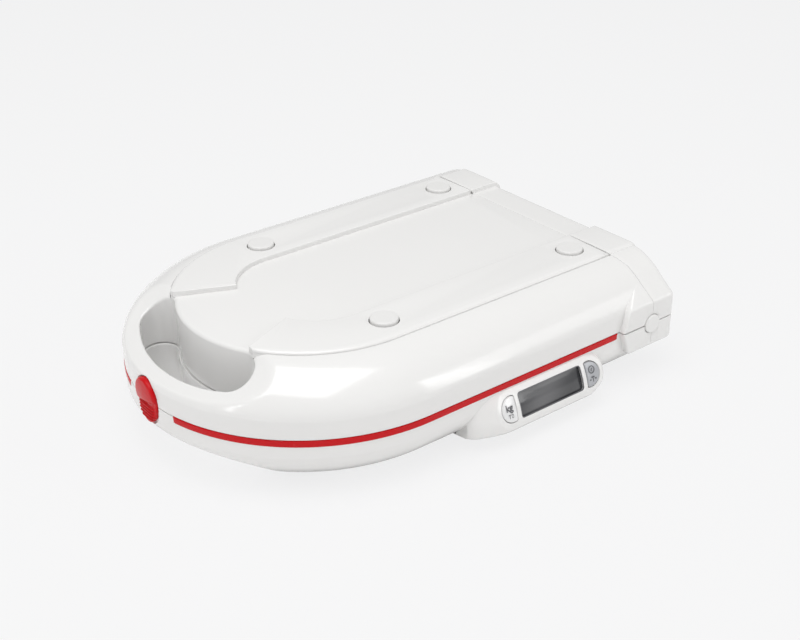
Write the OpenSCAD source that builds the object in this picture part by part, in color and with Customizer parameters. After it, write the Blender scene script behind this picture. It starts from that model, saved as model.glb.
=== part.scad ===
// Folding baby weighing scale, shown closed like a carrying case.
// It is drawn about the centre of its round front: +X runs to the hinge, -Y is
// the display side, +Z is up, and z = 0 is the plane where the two halves meet.
// Both halves are drawn as the upper one, and the lower one is mirrored.
// place() moves everything so that the scale stands centred on z = 0.

/* [Case] */
// Width of the case where the two halves meet
case_w = 262; // [256:1:272]
// Length from the centre of the round front to the rear face
straight_l = 223; // [220:1:236]
// Height of one half, from the parting plane to its raised strips
half_h = 43; // [42:0.5:47]
// Height of the upright side wall of one half
side_h = 13; // [10:0.5:15]
// Width of the rounded shoulder, from the side to the base plate
shoulder_w = 35; // [33:0.5:37]
// Wall of the shells and end covers
wall = 2.6; // [2.2:0.1:3]
// Gap between the closed halves
parting_gap = 0.6; // [0.4:0.1:0.9]
// Gap between neighbouring covers of one half
joint_gap = 0.3; // [0.2:0.05:0.5]
// Thickness of the flange round the tray
flange_t = 2.5; // [2:0.1:3]

/* [Base plates] */
// Depth of the recess between the raised strips
recess_d = 3.7; // [3:0.1:4.5]
// Half width of the recess
recess_half_w = 55.5; // [53:0.5:57]
// Step from a raised strip down to the shoulder
strip_step = 2; // [1.2:0.1:2.6]
// Thickness of a base plate
plate_t = 2.8; // [2.2:0.1:3.2]
// Radius of the curve at the front of the recess
recess_curve_r = 43; // [38:1:46]

/* [Carrying handle] */
// Inner radius of the hand hole, about the centre of the round front
hole_in_r = 93; // [91:0.5:94]
// Thickness of the handle bar
bar_t = 13; // [12:0.5:16]
// Half angle over which the hand hole runs straight round
hole_angle = 28.6; // [24:0.2:30]
// Height of one half of the bar
bar_h = 22; // [20:0.5:26]
// Radius of the hollow slope from the case down to the bar
slope_r = 95; // [85:1:105]
// Wall round the hand hole
hole_wall = 2.4; // [2:0.1:2.8]

/* [Tray] */
// Half width of the tray at its rim
tray_half_w = 100; // [96:0.5:101]
// Depth of the tray below the parting plane
tray_d = 14; // [12:0.5:15]
// Radius of the tray's inner edge
tray_edge_r = 13; // [9:0.5:13]
// Thickness of the tray
tray_t = 2.4; // [2:0.1:2.8]

/* [Feet and load cells] */
// Diameter of a foot pad
foot_d = 19; // [16:0.5:20]
// How far a foot pad stands out of its strip
foot_proud = 2.2; // [1.5:0.1:3]
// Ring gap round a foot pad
foot_gap = 0.7; // [0.4:0.1:1]
// Distance between the feet along the case
foot_span_x = 168; // [156:1:172]
// Distance from the rear face to the rear feet
foot_back = 48; // [46:0.5:52]
// Distance between the feet across the case
foot_span_y = 148.6; // [146:0.2:151]
// Side of a square load cell
cell_side = 30; // [26:0.5:31]
// Thickness of a load cell
cell_t = 3; // [2.5:0.1:4]

/* [Hinge end] */
// Length of an end cover along the top of the case
cover_l = 30; // [28:0.5:33]
// Distance from the rear face to the round cap
cap_back = 23.5; // [22:0.5:26]
// How far the rounded side pad stands out
ear_proud = 4.8; // [4:0.1:5.4]
// Radius of the side pad round the cap
ear_r = 28; // [24:0.5:30]
// Radius of the round cap
cap_r = 7; // [6:0.1:8]
// How far the cap stands out of the side pad
cap_proud = 1.2; // [0.8:0.1:2]
// Diameter of the hinge pins
pin_d = 3.6; // [3:0.1:4]
// Radius of the hinge knuckles
knuckle_r = 4.6; // [4.2:0.1:5]
// Length of one hinge knuckle
knuckle_l = 6.2; // [5.4:0.1:6.4]
// Radial clearance of the hinge pins
pin_clear = 0.05; // [0.02:0.01:0.1]
// Play between moving pieces
play = 0.3; // [0.25:0.05:0.4]

/* [Trim] */
// Height of the red trim stripe
stripe_h = 4.2; // [3:0.1:5]
// Angle from the latch to the start of the stripe
stripe_start = 12.5; // [10:0.5:20]
// Distance from the rear face to the end of the stripe
stripe_back = 53.5; // [53:0.5:70]

/* [Display] */
// Place of the middle of the display along the case
pod_x = 100; // [96:1:104]
// Half length of the display housing at its face
pod_half_l = 49; // [48.5:0.5:53]
// Length of the display window
window_w = 58; // [54:0.5:60]
// Height of the display window
window_h = 18; // [15:0.5:19]
// Height of the display face
face_h = 27; // [26.6:0.1:28]
// Backward tilt of the display face
face_tilt = 21; // [18:0.5:23]
// Crown of the display face
face_bulge = 1.8; // [1.4:0.1:2.2]
// Radius of the round side of a key
key_r = 9; // [8.4:0.1:9.2]
// Key travel
key_travel = 1; // [0.6:0.1:1.2]

/* [Latch] */
// Width of the latch button
latch_w = 31; // [28:0.5:34]
// Height of the latch button
latch_h = 39; // [36:0.5:40]
// How far the latch button stands out
latch_proud = 2.8; // [2:0.1:3.2]
// Travel of the latch button
latch_travel = 1.6; // [1:0.1:1.8]

/* [Batteries] */
// Diameter of a cell
cell_d = 14.5; // [13.5:0.1:14.5]
// Length of a cell
cell_l = 50.5; // [48:0.5:51]
// Number of cells side by side
cell_count = 4; // [3:1:4]
// Place of the battery box along the case
battery_x = 60; // [56:1:64]

/* [Hidden] */
$fn = 64;
big_fn = 180;
far = 400;
R = case_w / 2;
g = parting_gap / 2;
shoulder_a = shoulder_w - joint_gap;
shoulder_top = half_h - strip_step;
shoulder_b = shoulder_top - side_h;
plate_r = R - shoulder_w;
plate_edge = 4;
recess_z = half_h - recess_d;
seat_z = recess_z - plate_t;
ledge_t = 2.4;
ledge_r = plate_r - 6;
hole_out_r = R - bar_t;
flange_r = tray_half_w + tray_t + 0.4;
tray_back_z = tray_d + tray_t;
lip_z = 9;
lip_t = 2;
lip_r = tray_half_w + 16;
axis_x = straight_l + play;
seam_top_x = straight_l - cover_l;
seam_mid_x = straight_l - cap_back;
foot_mid_x = straight_l - foot_back - foot_span_x / 2;
stripe_end_x = straight_l - stripe_back;
ear_y = R + ear_proud;
ear_top = side_h + 4;
knuckle_y = flange_r + 1.7;
foot_top = half_h + foot_proud;
cell_top = 30;
stem_d = 10;
board_t = 1.6;
cap_stem_r = 4;
pod_cut_l = 44.4;

// The box round the whole scale, used to centre it.
box_front = -(R + latch_proud);
box_rear = axis_x + knuckle_r;
face_out = face_h * sin(face_tilt);
face_top = [-(R + 0.8), -5.2];
face_mid = face_top + [-face_out / 2, -face_h * cos(face_tilt) / 2];
face_r = (pow(face_h / 2, 2) + pow(face_bulge, 2)) / (2 * face_bulge);
face_centre = face_mid + (face_r - face_bulge) * [cos(face_tilt), -sin(face_tilt)];
face_half_angle = asin(face_h / 2 / face_r);
box_near = -max([for (i = [0:12]) -face_point(face_r, i / 12)[0]]);
box_far = ear_y + cap_proud;

FOOT_SIGNS = [[-1, -1], [1, -1], [-1, 1], [1, 1]];
UPPER_FEET = [for (i = [1:4]) str("upper_foot_", i)];
LOWER_FEET = [for (i = [1:4]) str("lower_foot_", i)];
UPPER_CELLS = [for (i = [1:4]) str("upper_load_cell_", i)];
LOWER_CELLS = [for (i = [1:4]) str("lower_load_cell_", i)];

SHELL_WHITE = [0.93, 0.92, 0.91];
TRIM_RED = [0.78, 0.06, 0.1];
STEEL = [0.7, 0.71, 0.73];
BOARD_GREEN = [0.1, 0.4, 0.2];

// Points of an elliptical arc, angles in degrees.
function arc(c, a, b, t0, t1, n) =
    [for (i = [0:n]) let(t = t0 + (t1 - t0) * i / n) [c[0] + a * cos(t), c[1] + b * sin(t)]];

// Points on the crowned display face in the Y-Z plane, f from 0 at its top to 1.
function face_point(r, f) =
    let(t = 180 - face_tilt + face_half_angle * (2 * f - 1))
    face_centre + r * [cos(t), sin(t)];

function shoulder_arc(inset) =
    arc([R - shoulder_a, side_h], shoulder_a - inset, shoulder_b - inset, 0, 90, 10);

// Ring-shaped section of a shell: flange, side wall, shoulder and plate ledge.
function shell_profile() =
    let(top = seat_z - ledge_t,
        t1 = asin((top - side_h) / (shoulder_b - wall)))
    concat(
        [[flange_r, g], [R, g]],
        shoulder_arc(0),
        [[R - shoulder_a, seat_z], [ledge_r, seat_z], [ledge_r, top]],
        arc([R - shoulder_a, side_h], shoulder_a - wall, shoulder_b - wall, t1, 0, 8),
        [[R - wall, g + flange_t], [flange_r, g + flange_t]]);

// Full section below the shell's outer surface, up to the base plate's seat.
function solid_profile(grow) =
    concat(
        [[0, g], [R + grow, g], [R + grow, side_h]],
        shoulder_arc(-grow),
        [[R - shoulder_a, seat_z], [0, seat_z]]);

function strip_edge() =
    arc([plate_r - plate_edge, shoulder_top], plate_edge, strip_step, 0, 90, 4);

function plate_profile() = concat([[0, seat_z], [plate_r, seat_z]], strip_edge(), [[0, half_h]]);

// Outline of the recess between the strips, seen from above.
function recess_half(grow) =
    concat(
        [[far, recess_half_w + grow]],
        arc([-2, recess_half_w - recess_curve_r], recess_curve_r + grow, recess_curve_r + grow, 90, 155, 8),
        [[-100, recess_half_w + 1.6 + grow]]);
function flipped(p) = [for (i = [len(p) - 1:-1:0]) [p[i][0], -p[i][1]]];

// Section of the tray, with its screw lip.
function tray_profile() =
    let(c = [tray_half_w - tray_edge_r, tray_d - tray_edge_r],
        r = tray_edge_r + tray_t,
        low = asin((lip_z - c[1]) / r),
        high = asin((lip_z + lip_t - c[1]) / r))
    concat(
        [[0, tray_d]],
        arc(c, tray_edge_r, tray_edge_r, 90, 0, 8),
        [[tray_half_w, g], [tray_half_w + tray_t, g]],
        arc(c, r, r, 0, low, 3),
        [[lip_r, lip_z], [lip_r, lip_z + lip_t]],
        arc(c, r, r, high, 90, 6),
        [[0, tray_back_z]]);
function tray_solid() =
    let(c = [tray_half_w - tray_edge_r, tray_d - tray_edge_r], r = tray_edge_r + tray_t)
    concat([[0, g], [tray_half_w + tray_t, g]], arc(c, r, r, 0, 90, 8), [[0, tray_back_z]]);

module place() {
    translate([-(box_front + box_rear) / 2, -(box_near + box_far) / 2, foot_top]) children();
}

module lower() {
    mirror([0, 0, 1]) children();
}

module round_front(points) {
    rotate([0, 0, 90]) rotate_extrude(angle = 180, $fn = big_fn) polygon(points);
}

module straight_part(points, x0, x1) {
    translate([x0, 0, 0]) rotate([90, 0, 90]) linear_extrude(x1 - x0) polygon(points);
    translate([x0, 0, 0]) rotate([90, 0, 90]) linear_extrude(x1 - x0) mirror([1, 0]) polygon(points);
}

module sweep(points, x_end) {
    round_front(points);
    straight_part(points, 0, x_end);
}

module y_cylinder(x, z, r, y0, y1, fn = $fn) {
    translate([x, y1, z]) rotate([90, 0, 0]) cylinder(r = r, h = y1 - y0, $fn = fn);
}

module block(low, high) {
    translate(low) cube(high - low);
}

module both_sides() {
    children();
    mirror([0, 1, 0]) children();
}

// Wedge round the middle of the front, seen from above.
module front_wedge(angle) {
    polygon([[0, 0], far * [-cos(angle), sin(angle)], [-2 * far, 0], far * [-cos(angle), -sin(angle)]]);
}

// Curved slot with round ends, about the centre of the round front.
function hand_hole_points(grow) =
    let(mid = (hole_in_r + hole_out_r) / 2,
        reach = (hole_out_r - hole_in_r) / 2 + grow,
        a0 = 180 - hole_angle,
        a1 = 180 + hole_angle,
        c0 = mid * [cos(a0), sin(a0)],
        c1 = mid * [cos(a1), sin(a1)])
    concat(
        arc([0, 0], mid + reach, mid + reach, a0, a1, 24),
        arc(c1, reach, reach, a1 + 15, a1 + 165, 10),
        arc([0, 0], mid - reach, mid - reach, a1, a0, 24),
        arc(c0, reach, reach, a0 + 195, a0 + 345, 10));

module hand_hole(grow) {
    translate([0, 0, -1]) linear_extrude(half_h + 10) polygon(hand_hole_points(grow));
}

// Hollow cylinder along Y whose lower surface is the slope down to the bar.
module slope_cylinder(grow) {
    y_cylinder(-R, bar_h + slope_r, slope_r + grow, -R - 5, R + 5, big_fn);
}

module slope_cut() {
    difference() {
        slope_cylinder(0);
        cylinder(r = R - shoulder_a, h = 4 * half_h, $fn = big_fn);
    }
}

// The slanted seam between a shell and its end cover, as the space behind it.
module behind_seam(gap) {
    lean = (seam_mid_x - seam_top_x) / half_h;
    low = -2;
    high = half_h + 5;
    translate([0, far / 2, 0]) rotate([90, 0, 0]) linear_extrude(far)
        polygon([[seam_mid_x - lean * low + gap, low], [far, low], [far, high],
                 [seam_mid_x - lean * high + gap, high]]);
}

module hand_hole_wall() {
    intersection() {
        difference() {
            hand_hole(hole_wall);
            hand_hole(0);
        }
        difference() {
            sweep(solid_profile(0), 10);
            slope_cut();
        }
    }
}

// Roof over the bar and its arms, one wall thick under the slope.
module slope_roof() {
    intersection() {
        round_front(concat([[R - shoulder_a, g], [R, g]], shoulder_arc(0)));
        difference() {
            slope_cylinder(wall);
            slope_cylinder(0);
        }
    }
}

function ear_profile() =
    [[R - wall - 0.5, g], [ear_y, g], [ear_y, ear_top], [ear_y - 0.9, ear_top + 2.6], [R - 9, side_h + 18],
     [R - 12, side_h + 14], [R - wall - 0.5, side_h + 2]];

module side_pads(x_end) {
    intersection() {
        straight_part(ear_profile(), 100, x_end);
        union() {
            y_cylinder(seam_mid_x, 0, ear_r, -far / 2, far / 2, 96);
            block([seam_mid_x, -far / 2, -1], [far, far / 2, half_h]);
        }
    }
}

module cap_holes(gap) {
    both_sides() {
        y_cylinder(seam_mid_x, 0, cap_r + gap, ear_y - 2 - gap, ear_y + 5);
        y_cylinder(seam_mid_x, 0, cap_stem_r + gap, R - 13 - gap, ear_y);
    }
}

// Places of the tray screws, one side of the case.
function screw_places() =
    concat(
        [for (x = [16, foot_mid_x, seam_top_x - 27]) [x, lip_r - 5]],
        [(lip_r - 5) * [-cos(56), sin(56)]]);

module screw_bosses() {
    both_sides() for (p = screw_places())
        translate([p[0], p[1], g]) difference() {
            cylinder(r = 4, h = lip_z - g);
            translate([0, 0, 2]) cylinder(r = 1.3, h = lip_z);
        }
}

// Ellipse of the latch button on the front of the case.
module latch_outline(grow, x0, x1) {
    translate([x0, 0, 0]) rotate([90, 0, 90]) linear_extrude(x1 - x0)
        polygon(arc([0, 0], latch_w / 2 + grow, latch_h / 2 + grow, 0, 354, 59));
}

latch_seat_r = R - 4.2;
latch_back_r = latch_seat_r - 1.6;
arm_x = [-latch_back_r + 1.6, -latch_back_r + 2.8];
arm_w = 9.2;
stem_z = [6, 12];

module latch_backing() {
    intersection() {
        difference() {
            cylinder(r = R - 0.5, h = bar_h, $fn = big_fn);
            translate([0, 0, -1]) cylinder(r = latch_back_r, h = bar_h + 2, $fn = big_fn);
        }
        block([-R - 5, -latch_w / 2 - 3, g], [-R + 14, latch_w / 2 + 3, bar_h - 1]);
        difference() {
            round_front(solid_profile(0));
            slope_cylinder(0);
        }
    }
}

module latch_pocket() {
    difference() {
        latch_outline(play + 0.1, -R - 8, -R + 12);
        translate([0, 0, -half_h]) cylinder(r = latch_seat_r, h = 2 * half_h, $fn = big_fn);
    }
}

// Wall piece that both shells share, before the cuts of each one.
module common_shell() {
    difference() {
        union() {
            difference() {
                sweep(shell_profile(), seam_mid_x + 1);
                slope_cut();
            }
            slope_roof();
            hand_hole_wall();
            side_pads(seam_mid_x + 1);
            latch_backing();
            screw_bosses();
        }
        hand_hole(0);
        behind_seam(0);
        latch_pocket();
    }
}

// Slot in the flange for the arm of the latch.
module arm_slot() {
    block([-latch_back_r, -arm_w / 2 - play, -1], [arm_x[1] + latch_travel + play, arm_w / 2 + play, flange_t + 2]);
}

module upper_shell() {
    color(SHELL_WHITE) difference() {
        common_shell();
        arm_slot();
        cap_holes(play);
    }
}

module lower_shell() {
    color(SHELL_WHITE) lower() difference() {
        common_shell();
        arm_slot();
        cap_holes(0);
        block([-R - 1, -arm_w / 2 - play, stem_z[0] - play],
              [-latch_back_r + 1, arm_w / 2 + play, stem_z[1] + play]);
        stripe_solid();
        block([pod_x - pod_cut_l, -R - 3, 8.5], [pod_x + pod_cut_l, -R + 15, 31.5]);
    }
}

module stripe_solid() {
    difference() {
        sweep([[R - 1.4, g], [R + 0.3, g], [R + 0.3, g + stripe_h], [R - 1.4, g + stripe_h]], stripe_end_x);
        translate([0, 0, -1]) linear_extrude(20) front_wedge(stripe_start);
    }
}

module trim_stripe() {
    color(TRIM_RED) lower() stripe_solid();
}

// Corner places of the posts that carry a load cell.
module at_feet() {
    for (s = FOOT_SIGNS)
        translate([foot_mid_x + s[0] * foot_span_x / 2, s[1] * foot_span_y / 2, 0]) children();
}

module at_cell_corners() {
    for (sx = [-1, 1], sy = [-1, 1])
        translate([sx, sy, 0] * (cell_side / 2 - 3)) children();
}

module recess_space(grow, z0) {
    translate([0, 0, z0]) linear_extrude(far)
        polygon(concat(recess_half(grow), flipped(recess_half(grow))));
}

// Space under the raised strips.
module strip_hollow(x0, x_end) {
    top = half_h - plate_t;
    side = plate_r - plate_edge - 2;
    difference() {
        union() {
            if (x0 < 0) round_front([[0, seat_z - 1], [side, seat_z - 1], [side, top], [0, top]]);
            block([max(x0, 0), -side, seat_z - 1], [x_end, side, top]);
        }
        recess_space(plate_t, 0);
        if (x0 < 0) hand_hole(hole_wall + 2);
    }
}

module common_base_plate() {
    difference() {
        union() {
            difference() {
                sweep(plate_profile(), seam_mid_x);
                recess_space(0, recess_z);
                strip_hollow(-far, seam_top_x - 4);
            }
            at_feet() difference() {
                translate([0, 0, half_h - plate_t - 4]) cylinder(d = foot_d + 2 * foot_gap + 4, h = 4);
                translate([0, 0, seat_z - 4]) cylinder(d = foot_d, h = 20);
            }
            at_feet() at_cell_corners() translate([0, 0, cell_top]) cylinder(r = 2.6, h = half_h - plate_t - cell_top);
        }
        at_feet() translate([0, 0, seat_z - 5]) cylinder(d = foot_d + 2 * foot_gap, h = far);
        hand_hole(0);
        behind_seam(-joint_gap);
    }
}

// Corner places of a circuit board that stands on posts under a base plate.
module at_board_corners(mid_x, size) {
    for (sx = [-1, 1], sy = [-1, 1])
        translate([mid_x + sx * (size[0] / 2 - 4), sy * (size[1] / 2 - 4), 0]) children();
}

module board_posts(mid_x, size, z) {
    at_board_corners(mid_x, size) difference() {
        translate([0, 0, z]) cylinder(r = 3, h = seat_z - z + 0.1);
        translate([0, 0, z - 1]) cylinder(r = 1.3, h = 8);
    }
}

module board(mid_x, size, z) {
    difference() {
        block([mid_x - size[0] / 2, -size[1] / 2, z - board_t], [mid_x + size[0] / 2, size[1] / 2, z]);
        at_board_corners(mid_x, size) translate([0, 0, z - 5]) cylinder(r = 1.7, h = 10);
    }
}

module board_screws(mid_x, size, z) {
    at_board_corners(mid_x, size) {
        translate([0, 0, z - board_t - 1.8]) cylinder(r = 2.7, h = 1.8);
        translate([0, 0, z - board_t - 0.1]) cylinder(r = 1.25, h = 7);
    }
}

module upper_base_plate() {
    color(SHELL_WHITE) {
        common_base_plate();
        board_posts(foot_mid_x, junction_size, board_z);
    }
}

module lower_base_plate() {
    color(SHELL_WHITE) lower() {
        difference() {
            common_base_plate();
            block([battery_x - bay[0], -bay[1], seat_z - 1], [battery_x + bay[0], bay[1], half_h]);
        }
        board_posts(main_board_x, main_board_size, board_z);
        door_rails();
    }
}

// Tray outline kept clear of the hand hole.
module tongue_keepout(grow) {
    translate([0, 0, -1]) linear_extrude(half_h) difference() {
        front_wedge(hole_angle + 9.6 + grow / 2);
        circle(r = hole_in_r - hole_wall - grow, $fn = big_fn);
    }
}

module common_tray() {
    x_end = straight_l - play;
    difference() {
        union() {
            sweep(tray_profile(), x_end);
            intersection() {
                round_front(tray_solid());
                tongue_keepout(0.4 + tray_t);
            }
        }
        tongue_keepout(0.4);
        both_sides() for (p = screw_places())
            translate([p[0], p[1], lip_z - 1]) cylinder(r = 1.7, h = lip_t + 2);
        // The lip stops short of the end cover.
        both_sides() block([seam_top_x - 8, tray_half_w + tray_t, g + 0.1], [far, far, tray_back_z + 2]);
    }
}

module upper_tray() {
    color(SHELL_WHITE) common_tray();
}

module common_tray_screws() {
    both_sides() for (p = screw_places())
        translate([p[0], p[1], 0]) {
            translate([0, 0, lip_z + lip_t]) cylinder(r = 2.8, h = 1.9);
            translate([0, 0, 3.2]) cylinder(r = 1.25, h = lip_z + lip_t - 3.2 + 0.1);
        }
}

// Knuckle number k on one side, as a y range.
function knuckle_range(k) =
    let(y0 = knuckle_y + k * (knuckle_l + play)) [y0, y0 + knuckle_l];

module knuckle_cylinders(list, r, grow) {
    both_sides() for (k = list)
        y_cylinder(axis_x, 0, r, knuckle_range(k)[0] - grow, knuckle_range(k)[1] + grow);
}

module pin_bores() {
    both_sides() y_cylinder(axis_x, 0, pin_d / 2 + pin_clear, knuckle_y - 1, knuckle_range(2)[1] - 1.2);
}

// Rounded envelope of the rear corners.
module rear_envelope() {
    r = 6;
    s = 4;
    translate([0, far / 2, 0]) rotate([90, 0, 0]) linear_extrude(far)
        polygon(concat([[0, -10], [straight_l, -10]], arc([straight_l - r, half_h - r], r, r, 0, 90, 6), [[0, half_h]]));
}

module plan_envelope() {
    s = 4;
    near = arc([straight_l - s, ear_y - s], s, s, 0, 90, 5);
    translate([0, 0, -10]) linear_extrude(far)
        polygon(concat([[0, -ear_y]], flipped(near), near, [[0, ear_y]]));
}

function cover_solid() =
    concat([[0, g], [R, g]], arc([plate_r, side_h], R - plate_r, shoulder_b, 0, 90, 10), strip_edge(), [[0, half_h]]);

function cover_hollow() =
    concat(
        [[0, -1], [flange_r, -1], [flange_r, g + flange_t], [R - wall, g + flange_t]],
        arc([plate_r, side_h], R - plate_r - wall, shoulder_b - wall, 0, 80, 8),
        [[plate_r - 4, seat_z], [0, seat_z]]);

// Solid block that carries the knuckles of one half.
module hinge_block() {
    both_sides() block([straight_l - 12, flange_r, g], [straight_l, knuckle_range(2)[1] + 1, tray_back_z - 3]);
}

module common_end_cover(own, other, cap_gap) {
    difference() {
        union() {
            intersection() {
                union() {
                    difference() {
                        straight_part(cover_solid(), seam_top_x - 2, straight_l);
                        straight_part(cover_hollow(), seam_top_x - 3, straight_l - wall);
                        strip_hollow(seam_top_x - 3, straight_l - wall - 4);
                    }
                    side_pads(straight_l);
                    hinge_block();
                }
                rear_envelope();
                plan_envelope();
            }
        }
        difference() {
            translate([0, 0, -1]) block([0, -far / 2, 0], [far, far / 2, half_h + 5]);
            behind_seam(joint_gap);
        }
        recess_space(0, recess_z);
        block([0, -flange_r, -1], [far, flange_r, tray_back_z + play]);
        cap_holes(cap_gap);
        knuckle_cylinders(other, knuckle_r + play, play);
        pin_bores();
    }
    difference() {
        union() {
            knuckle_cylinders(own, knuckle_r, 0);
            both_sides() for (k = own)
                block([straight_l - 6, knuckle_range(k)[0], g], [axis_x, knuckle_range(k)[1], knuckle_r]);
        }
        pin_bores();
    }
}

module upper_end_cover() {
    color(SHELL_WHITE) common_end_cover([1], [0, 2], play);
}

module lower_end_cover() {
    color(SHELL_WHITE) lower() common_end_cover([0, 2], [1], 0);
}

module hinge_pins() {
    color(STEEL) both_sides()
        y_cylinder(axis_x, 0, pin_d / 2, knuckle_y + 0.3, knuckle_range(2)[1] - 1.5);
}

module side_caps() {
    color(SHELL_WHITE) both_sides() {
        y_cylinder(seam_mid_x, 0, cap_r, ear_y - 2, ear_y + cap_proud);
        y_cylinder(seam_mid_x, 0, cap_stem_r, R - 13, ear_y - 2);
    }
}

module foot_pad() {
    edge = 1.2;
    rotate_extrude() polygon(concat(
        [[0, cell_top], [stem_d / 2, cell_top], [stem_d / 2, seat_z], [foot_d / 2, seat_z]],
        arc([foot_d / 2 - edge, foot_top - edge], edge, edge, 0, 90, 4),
        [[0, foot_top]]));
}

module foot(i) {
    s = FOOT_SIGNS[i];
    color(SHELL_WHITE) translate([foot_mid_x + s[0] * foot_span_x / 2, s[1] * foot_span_y / 2, 0]) foot_pad();
}

// Flat steel load cell: a frame on the posts and a tongue under the foot.
module load_cell(i) {
    s = FOOT_SIGNS[i];
    side = cell_side / 2;
    color(STEEL) translate([foot_mid_x + s[0] * foot_span_x / 2, s[1] * foot_span_y / 2, cell_top - cell_t])
        difference() {
            block([-side, -side, 0], [side, side, cell_t]);
            for (m = [-1, 1]) block([-side + 5, m * 8 - 1, -1], [side - 5, m * 8 + 1, cell_t + 1]);
            block([-side + 5, -9, -1], [-side + 7, 9, cell_t + 1]);
        }
}

module upper_junction_board() {
    color(BOARD_GREEN) {
        board(foot_mid_x, junction_size, board_z);
        block([foot_mid_x - 8, -4, board_z], [foot_mid_x + 8, 4, board_z + 5]);
    }
}

module main_board() {
    color(BOARD_GREEN) lower() {
        board(main_board_x, main_board_size, board_z);
        block([main_board_x - 7, -7, board_z], [main_board_x + 7, 7, board_z + 1.6]);
        block([main_board_x + 12, -9, board_z], [main_board_x + 18, 9, board_z + 6]);
    }
}

// Latch button: a curved pad with grip ribs, and a stem with an upright arm.
module latch_button() {
    rib_pitch = 2.8;
    color(TRIM_RED) {
        difference() {
            intersection() {
                latch_outline(0, -R - 8, -R + 12);
                union() {
                    translate([0, 0, -half_h]) cylinder(r = R + 1.4, h = 2 * half_h, $fn = big_fn);
                    for (i = [0:4])
                        translate([0, 0, -3 - i * rib_pitch]) cylinder(r = R + latch_proud - 0.6, h = 1.4, $fn = big_fn);
                    translate([0, 0, 1.5]) cylinder(r = R + latch_proud, h = half_h, $fn = big_fn);
                }
            }
            translate([0, 0, -half_h]) cylinder(r = latch_seat_r + latch_travel + play, h = 2 * half_h, $fn = big_fn);
        }
        block([-R + 1, -arm_w / 2, -stem_z[1]], [arm_x[1], arm_w / 2, -stem_z[0]]);
        block([arm_x[0], -arm_w / 2, -stem_z[1]], [arm_x[1], arm_w / 2, 8]);
        block([arm_x[0] - 0.5, -arm_w / 2, 6], [arm_x[1], arm_w / 2, 8]);
    }
}

module latch_ring(r0, r1, half_w, z0, z1) {
    intersection() {
        translate([0, 0, z0]) difference() {
            cylinder(r = r1, h = z1 - z0, $fn = big_fn);
            translate([0, 0, -1]) cylinder(r = r0, h = z1 - z0 + 2, $fn = big_fn);
        }
        block([-R - 5, -half_w, z0], [-R + 14, half_w, z1]);
    }
}

module latch_keeper() {
    color(STEEL) latch_ring(latch_back_r - 0.8, latch_back_r, 6, 3.4, 11);
}

module latch_spring() {
    back = latch_seat_r + latch_travel + play;
    color(STEEL) latch_ring(back - 0.3, back, 11, 1, 5);
}

// Battery bay: the box hangs under the base plate, and the door slides outside.
bay_wall = 1.6;
cell_pitch = cell_d + 0.7;
bay = [cell_count * cell_pitch / 2, cell_l / 2 + 1.4];
box_back = tray_back_z + 1;
cell_z = box_back + bay_wall + cell_d / 2 + 0.6;
door = [bay[0] + 4.6, bay[1] + 5.3];
door_z = [recess_z + play, recess_z + play + 1.8];
board_z = tray_back_z + 7;
main_board_x = 142;
main_board_size = [58, 60];
junction_size = [44, 34];

module door_rails() {
    lip = door_z[1] + play;
    both_sides() {
        block([battery_x - door[0] - 2, door[1] + play, recess_z - 0.1],
              [battery_x + door[0], door[1] + play + 2.2, lip + 1]);
        block([battery_x - door[0] - 2, door[1] - 1.6, lip], [battery_x + door[0], door[1] + play + 2.2, lip + 1]);
    }
    block([battery_x - door[0] - 2, -door[1], recess_z - 0.1], [battery_x - door[0] - play, door[1], lip + 1]);
}

module battery_box() {
    color(SHELL_WHITE) lower() difference() {
        block([battery_x - bay[0] - bay_wall, -bay[1] - bay_wall, box_back],
              [battery_x + bay[0] + bay_wall, bay[1] + bay_wall, seat_z]);
        block([battery_x - bay[0], -bay[1], box_back + bay_wall], [battery_x + bay[0], bay[1], half_h]);
    }
}

module battery_cell() {
    y_cylinder(0, 0, cell_d / 2, -cell_l / 2, cell_l / 2 - 1.2, 48);
    y_cylinder(0, 0, 2.7, cell_l / 2 - 1.3, cell_l / 2, 24);
}

module battery_cells() {
    color(STEEL) lower() for (i = [0:cell_count - 1])
        translate([battery_x + (i - (cell_count - 1) / 2) * cell_pitch, 0, cell_z])
            rotate([0, 0, 180 * (i % 2)]) battery_cell();
}

module battery_contacts() {
    gap = bay[1] - cell_l / 2;
    color(STEEL) lower() both_sides() for (i = [0:cell_count - 1])
        translate([battery_x + (i - (cell_count - 1) / 2) * cell_pitch, 0, cell_z]) {
            block([-5, bay[1] - 0.4, -5], [5, bay[1], 5]);
            y_cylinder(0, 0, 2.4, bay[1] - gap, bay[1] - 0.3, 24);
        }
}

module battery_door() {
    grip = 5;
    color(SHELL_WHITE) lower() difference() {
        block([battery_x - door[0], -door[1], door_z[0]], [battery_x + door[0], door[1], door_z[1]]);
        for (i = [0:grip - 1])
            block([battery_x + door[0] - 8 - i * 3, -12, door_z[1] - 0.7], [battery_x + door[0] - 6.6 - i * 3, 12, half_h]);
    }
}

// Display: everything on the face is drawn flat, with X along the case, Y up
// the face and Z out of it, and then set on the tilted face.
pod_wall = 2.2;
key_u = 36;
key_flat = 3;
board_w = -7.2;

module on_face() {
    translate([pod_x, face_mid[0], face_mid[1]]) rotate([90 - face_tilt, 0, 0]) children();
}

// Crowned cylinder of the face, in face coordinates.
module crown(inset) {
    translate([-far / 2, 0, face_bulge - face_r]) rotate([0, 90, 0])
        cylinder(r = face_r - inset, h = far, $fn = big_fn);
}

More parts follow.
